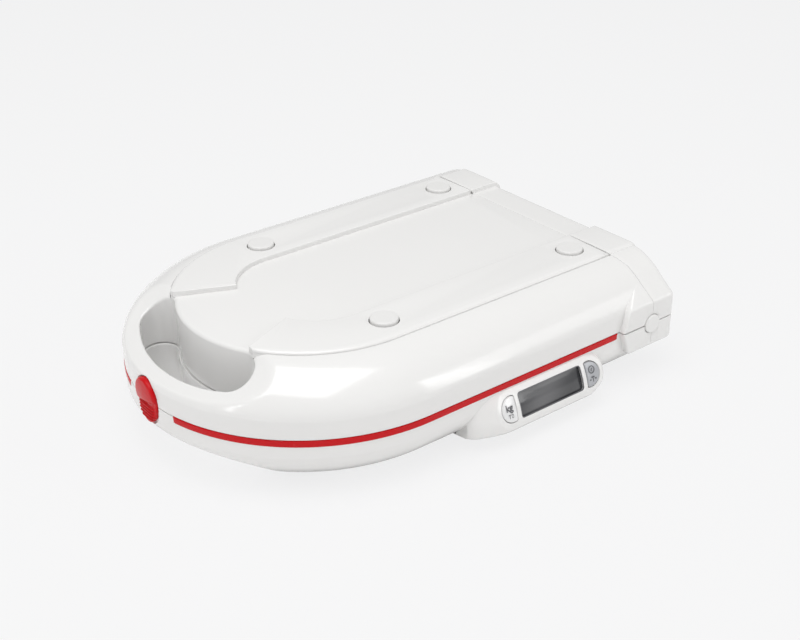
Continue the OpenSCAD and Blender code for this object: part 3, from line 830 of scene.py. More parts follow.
@dataclass
class Shell:
    """Outer shell of one half: shoulder, handle bar and parting flange.

    Attributes:
        half: which half it belongs to.
        finishes: the materials.
        wall_step: how far the foot of the lower hand hole's wall stands inwards.
        hole_lip: radius of the rounded rim of the hand hole.
        gap_lip: radius of the rounded rim of the gap round the base plate.
        slack: distance kept from the seam with the end cover.
    """

    half: Half
    finishes: Finishes
    wall_step: float = 1.0
    hole_lip: float = 1.6
    gap_lip: float = 0.6
    slack: float = 0.02

    def side_rows(self) -> list:
        """Rows of one side, from the middle of the front to the rear seam.

        Returns:
            The rows in plan.
        """
        c, rows = CASE, []
        mid, half = c.hole_mid, c.hole_half
        for a in np.concatenate([np.linspace(0, 9.5, 40)[:-1], np.linspace(9.5, c.hole_angle, 14)[:-1]]):
            d = ray(math.radians(a))
            rows.append(PlanRow(d * c.hole_out, d * c.radius, True))
        a = math.radians(c.hole_angle)
        centre = mid * ray(a)
        out, along = ray(a), np.array([math.sin(a), math.cos(a)])
        meet = -math.degrees(math.asin((mid - self.join_radius()) / half))
        for k in np.linspace(0, 1, 26):
            p = math.radians(90 + (meet - 90) * k)
            b = math.radians(c.hole_angle + 22 * k)
            inner = centre + half * (math.sin(p) * out + math.cos(p) * along)
            rows.append(PlanRow(inner, c.radius * ray(b), True))
        last = rows[-1].inner
        start = math.degrees(math.atan2(last[1], -last[0]))
        for k in np.linspace(0, 1, 48):
            a = math.radians(start + (90 - start) * k)
            b = math.radians(c.hole_angle + 22 + (68 - c.hole_angle) * k)
            b = min(b, math.pi / 2)
            rows.append(PlanRow(c.shoulder_r * ray(a), c.radius * ray(b)))
        for k in np.linspace(0, 1, 70)[1:]:
            rows.append(PlanRow(np.array([0, c.shoulder_r]), np.array([0, c.radius]), run=k))
        return rows

    def join_radius(self) -> float:
        """How far from the hole's middle line, inwards, the plate gap meets it.

        Returns:
            The length in millimetres.
        """
        c = CASE
        angle = (c.hole_mid**2 + c.shoulder_r**2 - c.hole_half**2) / (2 * c.hole_mid * c.shoulder_r)
        return c.shoulder_r * angle

    def row_points(self, row: PlanRow) -> np.ndarray:
        """Section of the shell along one row, from the inner rim to the flange.

        Args:
            row: the row in plan.

        Returns:
            The points of the row.
        """
        c = CASE
        near_rim = [0, 0.006, 0.014, 0.025, 0.04, 0.06, 0.09]
        u = np.concatenate([near_rim, np.linspace(0.13, 1, 30)])
        s = np.sin(u * math.pi / 2)
        plan = row.inner + (row.outer - row.inner) * s[:, None]
        x, y = plan[:, 0], plan[:, 1]
        height = shell_height(x, y)
        if row.over_hole:
            drop = rounding(np.maximum(hole_distance(x, y), 0), self.hole_lip)
        else:
            drop = rounding(plan_radius(x, y) - c.shoulder_r, self.gap_lip)
            drop = np.maximum(drop, rounding(np.maximum(hole_distance(x, y), 0), self.hole_lip))
        z = height - drop
        wall = [(0.0, z) for z in np.linspace(c.side, 1.0, 14)[1:]]
        lower_edge = [(-0.12, 0.55), (-0.5, c.parting)]
        normal = row.outer / np.linalg.norm(row.outer)
        pts = np.stack([x, y, z], axis=1).tolist()
        pts += [[*(row.outer + normal * o), h] for o, h in wall + lower_edge]
        flange = self.flange_end(row)
        pts.append([*flange, c.parting])
        pts = np.array(pts)
        if row.run >= 0:
            pts[:, 0] = row.run * (c.seam_x(pts[:, 2]) - self.slack)
        return pts

    def flange_end(self, row: PlanRow) -> np.ndarray:
        """Inner end of the flange under a row, kept out of the hand hole.

        Args:
            row: the row in plan.

        Returns:
            The point in plan.
        """
        c = CASE
        if row.over_hole:
            return row.inner
        for s in np.linspace(0, 0.95, 60):
            p = row.inner + (row.outer - row.inner) * s
            clear = float(hole_distance(p[0], p[1])) > 0.05
            if plan_radius(p[0], p[1]) >= c.flange_in and clear:
                if all(float(hole_distance(*(p + (row.outer - p) * t))) > 0 for t in (0.1, 0.3, 0.5)):
                    return p
        return row.inner + (row.outer - row.inner) * 0.3

    def pocket(self, pts: np.ndarray) -> np.ndarray:
        """Sinks the latch pocket into the outer wall.

        Args:
            pts: the points of the skin.

        Returns:
            The points with the pocket sunk in.
        """
        c = CASE
        y, z = pts[..., 1], pts[..., 2]
        deep, wall = 2.0, 2.2
        front = pts[..., 0] < -c.radius + 14.0
        half_w, half_h = LatchButton.half_w + 0.5, LatchButton.half_h + 0.5
        e = np.hypot(y / half_w / (1 + LatchButton.taper * z / half_h), z / half_h)
        depth = deep * (1 - smooth_step(0.985, 1.02, e)) * front
        r = np.hypot(pts[..., 0], y)
        outer = r > c.radius - wall
        pts[..., 0] += np.where(outer, depth, 0)
        return pts

    def skin(self) -> np.ndarray:
        """Rows of the whole shell, from the rear seam round the front and back.

        Returns:
            An array of rows of points.
        """
        side = [self.row_points(r) for r in self.side_rows()]
        other = []
        for p in side[1:]:
            q = p.copy()
            q[:, 1] *= -1
            other.append(q)
        return self.pocket(np.array(other[::-1] + side))

    def build(self) -> bpy.types.Object:
        """Makes the shell with its hand hole and side pads.

        Returns:
            The object.
        """
        shape = Shape(f"{self.half.word}_shell")
        shape.grid(self.skin(), away=from_spine)
        self.hole_wall(shape)
        self.ledge(shape)
        obj = shape.build(self.finishes.shell, self.half, node=f"{self.half.word}_shell", recalc=False)
        self.side_pads()
        return obj

    def hole_outline(self, grow: float) -> np.ndarray:
        """Closed outline of the hand hole in plan.

        Args:
            grow: how far the outline is widened.

        Returns:
            The outline.
        """
        c = CASE
        a, mid, reach = c.hole_angle, c.hole_mid, c.hole_half + grow
        cos_a, sin_a = math.cos(math.radians(a)), math.sin(math.radians(a))
        ends = [mid * np.array([-cos_a, s * sin_a]) for s in (1, -1)]
        line = [
            arc(0, 0, mid + reach, mid + reach, 180 - a, 180 + a, 60),
            arc(*ends[1], reach, reach, 180 + a, 360 + a, 30)[1:-1],
            arc(0, 0, mid - reach, mid - reach, 180 + a, 180 - a, 50),
            arc(*ends[0], reach, reach, -a, 180 - a, 30)[1:-1],
        ]
        return np.concatenate(line)

    def hole_wall(self, shape: Shape) -> None:
        """Upright wall round the hand hole, with its rounded foot at the parting plane.

        Args:
            shape: the shape that takes the surfaces.
        """
        c = CASE
        line = self.hole_outline(0)
        x, y = line[:, 0], line[:, 1]
        r = np.hypot(x, y)
        top = np.where(r > c.shoulder_r, shell_height(x, y) - self.hole_lip, c.seat)
        rows = []
        away = self.outward(line)
        step = self.wall_step if self.half is Half.LOWER else 0.0
        under, foot = c.parting + 0.15, 0.9
        rows.append(np.column_stack([self.rim_reach(line, away), np.full(len(line), under)]))
        for d, z in ((0.3 - step, under), (0.05 - step, 0.65), (-step, foot)):
            p = line + away * d
            rows.append(np.column_stack([p, np.full(len(p), z)]))
        for t in np.linspace(0, 1, 9)[1:]:
            rows.append(np.column_stack([line - away * step * (1 - t), foot + (top - foot) * t]))
        shape.grid(rows, closed_columns=True, away=to_hole_middle)

    def rim_reach(self, line: np.ndarray, away: np.ndarray) -> np.ndarray:
        """Outer edge of the rim round the hand hole: it closes the gap to the tray at both ends.

        Args:
            line: the outline.
            away: unit vectors to the outside of the outline.

        Returns:
            The outer edge of the rim.
        """
        near, far = 2.4, 12.0
        end_degrees, inner_r, outer_r = 38.2, 90.6, CASE.flange_in + 1.5
        reach = []
        for p, n in zip(line, away):
            end = p + n * near
            for d in np.linspace(near, far, 33):
                q = p + n * d
                angle, radius = math.degrees(math.atan2(abs(q[1]), -q[0])), math.hypot(*q)
                if not (angle < end_degrees and inner_r < radius < outer_r):
                    break
                end = q
            reach.append(end)
        return np.array(reach)

    def outward(self, line: np.ndarray) -> np.ndarray:
        """Unit vectors from the hand hole's inside to its wall.

        Args:
            line: the outline.

        Returns:
            The unit vectors.
        """
        n = line_normals(line, closed=True)
        probe = line + n * 0.5
        sign = np.where(hole_distance(probe[:, 0], probe[:, 1]) > 0, 1.0, -1.0)
        return n * sign[:, None]

    def ledge(self, shape: Shape) -> None:
        """Wall of the gap round the base plate, down to the ledge under it.

        Args:
            shape: the shape that takes the surfaces.
        """
        c = CASE
        rows = []
        for r in self.side_rows():
            if r.over_hole:
                continue
            p = []
            for inset, z in ((0, c.half - c.strip_step - self.gap_lip), (0, c.seat), (-4.0, c.seat)):
                q = r.inner + inset * r.inner / max(np.linalg.norm(r.inner), 1)
                p.append([q[0], q[1], z])
            p = np.array(p)
            if r.run >= 0:
                p[:, 0] = r.run * (c.seam_x(p[:, 2]) - self.slack)
            rows.append(p)
        rows = np.array(rows)
        for s in (1, -1):
            q = rows.copy()
            q[..., 1] *= s
            shape.grid(q, away=lambda p: -from_spine(p) * [1, 1, -1])

    def side_pads(self) -> None:
        """Round-fronted pads on both sides, ahead of the seam, with the cap's seat."""
        for s in (-1, 1):
            shape = Shape(f"{self.half.word}_side_pad_{'near' if s < 0 else 'far'}")
            ear_solid(shape, s)
            obj = shape.build(self.finishes.shell, self.half)
            cut(obj, [cap_seat(s, self.half)])


def from_spine(points: np.ndarray) -> np.ndarray:
    """Directions away from the case's middle line.

    Args:
        points: the points.

    Returns:
        The directions.
    """
    d = points.copy()
    d[:, 0] -= np.clip(d[:, 0], 0, CASE.straight)
    return d


def to_hole_middle(points: np.ndarray) -> np.ndarray:
    """Directions from the hand hole's wall to the middle line of the hole.

    Args:
        points: the points.

    Returns:
        The directions.
    """
    theta = np.arctan2(points[:, 1], -points[:, 0])
    theta = np.clip(theta, -math.radians(CASE.hole_angle), math.radians(CASE.hole_angle))
    mid = CASE.hole_mid * np.stack([-np.cos(theta), np.sin(theta)], axis=1)
    return np.column_stack([mid - points[:, :2], np.zeros(len(points))])


def ear_section(lift: float = 0.0) -> np.ndarray:
    """Outer line of a side pad in the Y-Z plane, from the parting plane upwards.

    Args:
        lift: how far the lower edge is raised.

    Returns:
        The line.
    """
    c = CASE
    return filleted(
        [(c.ear_y - 0.5, c.parting + lift), (c.ear_y, 0.9), (c.ear_y, 17.2), c.ear_top, (116.0, 28.6)],
        [0, 0.5, 4.0, 2.0, 0],
        6,
    )


def ear_solid(shape: Shape, side: int) -> None:
    """A closed side pad: ahead of the seam it ends in a quarter of a round boss.

    Args:
        shape: the shape that takes the surfaces.
        side: -1 for the display side, 1 for the other.
    """
    c = CASE
    line = ear_section(0.15)
    edge = 1.4
    rows = []
    for t in np.linspace(0, 1, 22):
        row = []
        for y, z in line:
            reach = math.sqrt(max(c.ear_r**2 - min(z, c.ear_r - 0.6) ** 2, 0))
            start, end = c.seam_mid - reach, float(c.seam_x(z)) - Shell.slack
            row.append([start + (end - start) * t**1.7, y, z])
        rows.append(row)
    rows = np.array(rows)
    # The front edge is rounded: the first rows are pulled in towards the wall.
    dist = np.linalg.norm(rows - rows[:1], axis=2)
    drop = rounding(dist, edge)
    rows[..., 1] -= drop
    rows[..., 1] *= side
    inside = side * 112.0
    shape.grid(rows)
    back = rows[-1].tolist() + [[p[0], inside, p[2]] for p in rows[-1][::-1]]
    shape.flat(back)
    first = rows[0].tolist()
    shape.grid([first, [[p[0], inside, p[2]] for p in first]])
    for j in (0, -1):
        edge_line = rows[:, j].tolist()
        shape.grid([edge_line, [[p[0], inside, p[2]] for p in edge_line]])
    shape.grid([[[p[0], inside, p[2]] for p in row] for row in rows])


def cap_seat(side: int, half: Half) -> bpy.types.Object:
    """Cutter of the round seat of a side cap.

    Args:
        side: -1 for the display side, 1 for the other.
        half: the half that it is mirrored for.

    Returns:
        The object.
    """
    shape = Shape("cap_seat")
    y = CASE.ear_y
    bore, mouth, floor, out = CASE.cap_r + 0.3, CASE.cap_r + 1.0, y - 2.3, y + 4
    profile = [(0.0, floor), (bore, floor), (bore, y - 0.5), (bore + 0.2, y - 0.1)]
    profile += [(mouth, y + 0.2), (mouth, out), (0.0, out)]
    shape.lathe([(r, side * h) for r, h in profile], (CASE.seam_mid, 0, 0), "Y", 72)
    return cutter_of(shape, half)


@dataclass
class BasePlate:
    """Base plate of one half: a recess between two raised strips that carry the feet.

    Attributes:
        half: which half it belongs to.
        finishes: the materials.
    """

    half: Half
    finishes: Finishes

    def recess_line(self) -> np.ndarray:
        """Edge of the recess on the +Y side, from the seam to the hand hole.

        Returns:
            The line in plan.
        """
        c = CASE
        bend, aim = 43, np.array([-100.0, c.recess_y + 1.6])
        curve = arc(-2, c.recess_y - bend, bend, bend, 90, 155, 24)
        corner = curve[-1]
        way = aim - corner
        ts = np.linspace(0, 1, 200)
        far_end = next((corner + way * t for t in ts if hole_distance(*(corner + way * t)) < 0.0), None)
        return np.concatenate([[[float(c.seam_x(c.half)), c.recess_y]], curve, [far_end]])

    def front_line(self) -> tuple:
        """Front edge of the plate on the +Y side, from its side round to y = 0.

        Returns:
            The side, the end of the hole and its inner edge.
        """
        c = CASE
        a, mid, half = math.radians(c.hole_angle), c.hole_mid, c.hole_half
        out, along = ray(a), np.array([math.sin(a), math.cos(a)])
        join = c.plate_r * (mid**2 + c.plate_r**2 - half**2) / (2 * mid * c.plate_r)
        meet = math.asin((mid - join) / half)
        ends = [
            mid * out + half * (-math.sin(p) * out + math.cos(p) * along)
            for p in np.linspace(meet, math.pi / 2, 10)
        ]
        first = math.degrees(math.atan2(ends[0][1], -ends[0][0]))
        side = [c.plate_r * ray(t) for t in np.radians(np.linspace(90, first, 44))]
        inner = [c.hole_in * ray(t) for t in np.radians(np.linspace(c.hole_angle, 0, 22)[1:])]
        return np.array(side), np.array(ends[1:]), np.array(inner)

    def slab(self) -> Shape:
        """Floor of the recess with the rounded tongue at the hand hole.

        Returns:
            The shape.
        """
        c = CASE
        side, ends, inner = self.front_line()
        seam = float(c.seam_x(c.recess))
        half_line = np.concatenate([[[seam, c.plate_r]], side, ends, inner])
        other = half_line[:-1][::-1] * [1, -1]
        ring = np.concatenate([half_line, other])
        wide = np.array([2.6 if hole_distance(*p) < 0.3 else 0.05 for p in ring])
        deep = np.minimum(wide, 2.5)
        shape = Shape(f"{self.half.word}_base_plate")
        pillow(shape, ring, c.seat, c.recess, wide, deep)
        return shape

    def strip_ring(self) -> tuple:
        """Outline of the raised strip on the +Y side, and its edge widths.

        Returns:
            The outline, and the width and depth of its edge.
        """
        c = CASE
        side, ends, inner = self.front_line()
        recess = self.recess_line()
        top = float(c.seam_x(c.half))
        outer = spaced([[top, c.plate_r], [0, c.plate_r]], 8.0)
        limit = recess[-1]
        run = [p for p in np.concatenate([ends, inner]) if p[1] > limit[1] + 0.4]
        ring = np.concatenate([outer[:-1], side, run, recess[::-1][:-1]])
        inward = spaced([recess[1], recess[0]], 8.0)[1:]
        ring = np.concatenate([ring, inward])
        wide = []
        for p in ring:
            r = float(plan_radius(p[0], p[1]))
            if abs(r - c.plate_r) < 0.2:
                wide.append(c.strip_edge)
            elif hole_distance(*p) < 0.2:
                wide.append(2.0)
            else:
                wide.append(0.8)
        wide = np.array(wide)
        for _ in range(2):
            soft = (np.roll(wide, 1) + wide * 2 + np.roll(wide, -1)) / 4
            wide = np.minimum(wide, np.maximum(soft, 0.6))
        sharp = np.linalg.norm(ring - limit, axis=1)
        wide = np.minimum(wide, 0.2 + 0.35 * sharp)
        at_seam = ring[:, 0] > top - 0.5
        wide[at_seam & (np.abs(ring[:, 1] - c.plate_r) > 1) & (np.abs(ring[:, 1] - c.recess_y) > 1)] = 0.05
        deep = np.where(wide > 2.2, c.strip_step * wide / c.strip_edge, np.minimum(wide, 1.8))
        return ring, wide, deep

    def build(self) -> bpy.types.Object:
        """Makes the plate with its strips, the holes for the feet and the battery bay.

        Returns:
            The object.
        """
        c = CASE
        feet = [(sx, sy) for sx in (-1, 1) for sy in (-1, 1)]
        name = f"{self.half.word}_base_plate"
        plate = self.slab().build(self.finishes.plate, self.half, node=name, weld=0.0005)
        cutters = [self.foot_cutter(*foot) for foot in feet]
        if self.half is Half.LOWER:
            cutters.append(bay_cutter())
        cut(plate, cutters, angle=32)
        ring, wide, deep = self.strip_ring()
        for s in (1, -1):
            shape = Shape("strip")
            pillow(shape, ring * [1, s], c.recess - 0.4, c.half, wide, deep)
            strip = cutter_of(shape, self.half)
            cut(strip, [self.foot_cutter(*foot) for foot in feet if foot[1] == s], angle=32)
            absorb(plate, strip)
        smooth(plate, 32)
        return plate

    def foot_cutter(self, sx: int, sy: int) -> bpy.types.Object:
        """Cutter of a foot's hole, with a small rounded lip.

        Args:
            sx: -1 for the front feet, 1 for the rear ones.
            sy: side of the foot across the case.

        Returns:
            The object.
        """
        c = CASE
        hole, top, lip = c.foot_r + 0.7, c.half, 0.45
        profile = [(0, c.seat + 0.4), (hole, c.seat + 0.4), (hole, top - lip)]
        turns = np.linspace(0.3, 1.57, 5)
        profile += [(hole + lip - lip * math.cos(t), top - lip + lip * math.sin(t)) for t in turns]
        profile += [(hole + lip, top + 3), (0, top + 3)]
        centre = (c.foot_mid + sx * c.foot_dx, sy * c.foot_dy, 0)
        return cutter_of(Shape("foot_hole").lathe(profile, centre, "Z", 72), self.half)


def pillow(
    shape: Shape,
    ring: np.ndarray,
    low: float,
    high: float,
    wide: np.ndarray,
    deep: np.ndarray,
    steps: int = 5,
) -> None:
    """A flat solid with a rounded top edge of varying width.

    Args:
        shape: the shape that takes the surfaces.
        ring: closed outline in plan.
        low: height of the flat bottom.
        high: height of the flat top.
        wide: width of the rounding at each point of the outline.
        deep: depth of the rounding at each point.
        steps: number of rings of the rounding.
    """
    ring = np.asarray(ring, dtype=float)
    area = np.sum(ring[:, 0] * np.roll(ring[:, 1], -1) - np.roll(ring[:, 0], -1) * ring[:, 1])
    n = line_normals(ring, closed=True) * (1 if area > 0 else -1)
    rows = [np.column_stack([ring, np.full(len(ring), low)]), np.column_stack([ring, high - deep])]
    for t in np.radians(np.linspace(0, 90, steps + 1)[1:]):
        p = ring + n * (wide * (1 - math.cos(t)))[:, None]
        rows.append(np.column_stack([p, high - deep * (1 - math.sin(t))]))
    shape.grid(rows, closed_columns=True)
    shape.flat(rows[-1])
    shape.flat(rows[0], flip=True)


@dataclass
class EndCover:
    """End cover of one half, with the knuckles of the hinge.

    Attributes:
        half: which half it belongs to.
        finishes: the materials.
        knuckles: numbers of the knuckles that it carries, counted outwards.
    """

    half: Half
    finishes: Finishes
    knuckles: tuple[int, ...]
    knuckle_y: float = 104.5
    knuckle_l: float = 6.2
    knuckle_r: float = 4.6

    def section(self) -> np.ndarray:
        """Half of the cover's outline in the Y-Z plane, from the side to y = 0.

        Returns:
            The half outline.
        """
        c = CASE
        a, b = c.radius - c.plate_r, c.half - c.strip_step - c.side
        out = np.sin(np.linspace(math.asin((c.ear_top[0] - c.plate_r) / a), 0, 16)) * a
        shoulder = np.column_stack([c.plate_r + out, c.side + c.shoulder(out, a, b)])
        strip = arc(c.plate_r - c.strip_edge, c.half - c.strip_step, c.strip_edge, c.strip_step, 0, 90, 6)
        ear = ear_section()[:-1]
        ear = ear[ear[:, 0] > shoulder[0, 0] + 0.4]
        groove = filleted(
            [(90, c.half), (c.recess_y, c.half), (c.recess_y - 0.3, c.recess), (c.recess_y - 8, c.recess)],
            [0, 0.9, 0.6, 0],
            4,
        )
        middle = np.array([[30.0, c.recess], [0.0, c.recess]])
        return np.concatenate([ear, shoulder, strip[1:], groove[1:], middle])

    def outline(self) -> np.ndarray:
        """The whole outline from +Y to -Y."""
        half = self.section()
        return np.concatenate([half, half[:-1][::-1] * [-1, 1]])

    def shrunk(self, line: np.ndarray, drop: float) -> np.ndarray:
        """The outline drawn in by some distance at its sides and top.

        Args:
            line: the outline.
            drop: how far the outline is drawn in.

        Returns:
            The outline after that.
        """
        c = CASE
        y = line[:, 0] * (1 - drop / c.ear_y)
        z = c.parting + (line[:, 1] - c.parting) * (1 - drop / (c.half - c.parting))
        return np.column_stack([y, z])

    def rows(self) -> np.ndarray:
        """Outlines along the cover, from the seam to the rounded rear edge.

        Returns:
            The outlines, one for each place.
        """
        c = CASE
        line, edge, lip = self.outline(), 5.0, 0.5
        front = c.seam_x(line[:, 1]) + c.joint
        rows = []
        for drop, x in ((lip, 0.0), (0.15, 0.15), (0.0, lip)):
            rows.append(np.column_stack([front + x, self.shrunk(line, drop)]))
        for t in np.linspace(0, 1, 8)[1:]:
            rows.append(np.column_stack([front + lip + (c.straight - edge - front - lip) * t, line]))
        for t in np.radians(np.linspace(0, 90, 9)[1:]):
            x = np.full(len(line), c.straight - edge + edge * math.sin(t))
            rows.append(np.column_stack([x, self.shrunk(line, edge * (1 - math.cos(t)))]))
        return np.array(rows)

    def build(self) -> bpy.types.Object:
        """Makes the cover, cuts its notch and seats, and adds the knuckles.

        Returns:
            The object.
        """
        rows = self.rows()
        shape = Shape(f"{self.half.word}_end_cover")
        shape.grid(rows)
        shape.flat(rows[0])
        shape.flat(rows[-1])
        shape.grid([[row[0].tolist(), row[-1].tolist()] for row in rows])
        obj = shape.build(self.finishes.shell, self.half, node=f"{self.half.word}_end_cover", weld=0.0005)
        cutters = [self.notch(), cap_seat(-1, self.half), cap_seat(1, self.half)]
        cutters += [self.knuckle_gap(s) for s in (-1, 1)]
        cut(obj, cutters, angle=32)
        self.add_knuckles()
        return obj

    def notch(self) -> bpy.types.Object:
        """Cutter of the space for the tray.

        Returns:
            The cutter.
        """
        half_w, top = 102.8, 16.7
        shape = Shape("notch").sweep_box((150, -half_w, -20), (240, half_w, top), 0.6)
        return cutter_of(shape, self.half)

    def knuckle_gap(self, side: int) -> bpy.types.Object:
        """Cutter of the clearance round all knuckles on one side.

        Args:
            side: -1 for the display side, 1 for the other.

        Returns:
            The object.
        """
        low, high = self.knuckle_y - 0.3, self.knuckle_y + 3 * self.knuckle_l + 0.9
        r = self.knuckle_r + 0.3
        profile = [(0, side * low), (r, side * low), (r, side * high), (0, side * high)]
        shape = Shape("gap").lathe(profile, (CASE.axis_x, 0, 0), "Y", 48)
        return cutter_of(shape, self.half)

    def add_knuckles(self) -> None:
        """Adds this half's knuckles, with the webs that carry them."""
        c = CASE
        shape = Shape(f"{self.half.word}_hinge_knuckles")
        e, r, bore = 0.5, self.knuckle_r, 1.9
        for side in (-1, 1):
            for k in self.knuckles:
                low = self.knuckle_y - 0.4 + k * (self.knuckle_l + 0.3)
                high = low + self.knuckle_l
                profile = [(bore, low), (r - e, low), (r, low + e)]
                profile += [(r, high - e), (r - e, high), (bore, high), (bore, low)]
                shape.lathe([(q, side * h) for q, h in profile], (c.axis_x, 0, 0), "Y", 48)
                a, b = sorted((side * low, side * high))
                shape.sweep_box((c.straight - 8, a + 0.2, 0.4), (c.axis_x - 2.2, b - 0.2, r - 0.3), 0.4)
        obj = shape.build(self.finishes.shell, self.half)


@dataclass
class Trim:
    """Red stripe, feet and caps."""

    finishes: Finishes

    def stripe(self) -> bpy.types.Object:
        """Red stripe round the lower half, just under the parting plane.

        Returns:
            The object.
        """
        c = CASE
        low, high, e = -0.05, 4.5, 0.4
        back, front = c.radius - 1.4, c.radius + 0.3
        first_degrees, last_x = 12.5, 169.5
        half = filleted([(back, low), (front, low), (front, high), (back, high)], [0, e, e, 0], 4)
        shape = Shape("trim_stripe")
        for s in (-1, 1):
            rows = []
            places = [("a", t) for t in np.linspace(first_degrees, 90, 90)]
            places += [("x", x) for x in np.linspace(0, last_x, 40)[1:]]
            last = len(places) - 1
            for i, (kind, value) in enumerate(places):
                inset = 0.35 if i in (0, last) else 0.0
                sec = half.copy()
                sec[1:-1, 0] -= inset
                if kind == "a":
                    t = math.radians(value)
                    rows.append([[-r * math.cos(t), s * r * math.sin(t), z] for r, z in sec])
                else:
                    rows.append([[value, s * r, z] for r, z in sec])
            shape.grid(rows, closed_columns=True)
            shape.flat(rows[0])
            shape.flat(rows[-1])
        return shape.build(self.finishes.red, Half.LOWER, node="trim_stripe")

    def feet(self) -> list:
        """Eight round foot pads, each a turned piece with a soft edge.

        Returns:
            The foot objects.
        """
        c = CASE
        made = []
        top, r, e = c.foot_top, c.foot_r, 1.3
        turns = np.linspace(0.15, 1.45, 7)
        for half in Half:
            for i, (sx, sy) in enumerate([(-1, -1), (1, -1), (-1, 1), (1, 1)]):
                profile = [(0, 30), (5, 30), (5, c.seat), (r, c.seat), (r, top - e)]
                profile += [(r - e + e * math.cos(t), top - e + e * math.sin(t)) for t in turns]
                profile += [(r - 1.9, top), (r * 0.5, top), (0, top)]
                shape = Shape(f"{half.word}_foot_{i + 1}")
                shape.lathe(profile, (c.foot_mid + sx * c.foot_dx, sy * c.foot_dy, 0), "Z", 72)
                made.append(shape.build(self.finishes.foot, half, node=f"{half.word}_foot_{i + 1}"))
        return made

    def caps(self) -> bpy.types.Object:
        """Round caps on both sides, over the ends of the seam.

        Returns:
            The object.
        """
        c = CASE
        r, e, plug, plug_end = c.cap_r, 1.0, 3.9, c.radius - 12.9
        back, face = c.ear_y - 1.95, c.ear_y + 1.2
        profile = [(0, plug_end), (plug, plug_end), (plug, back), (r, back), (r, face - e)]
        turns = np.linspace(0.2, 1.5, 6)
        profile += [(r - e + e * math.cos(t), face - e + e * math.sin(t)) for t in turns]
        profile += [(r * 0.5, face - 0.02), (0, face)]
        shape = Shape("side_caps")
        for s in (-1, 1):
            shape.lathe([(q, s * h) for q, h in profile], (c.seam_mid, 0, 0), "Y", 72)
        return shape.build(self.finishes.shell, None, "lower_case", "side_caps")


# ---------------------------------------------------------------- display


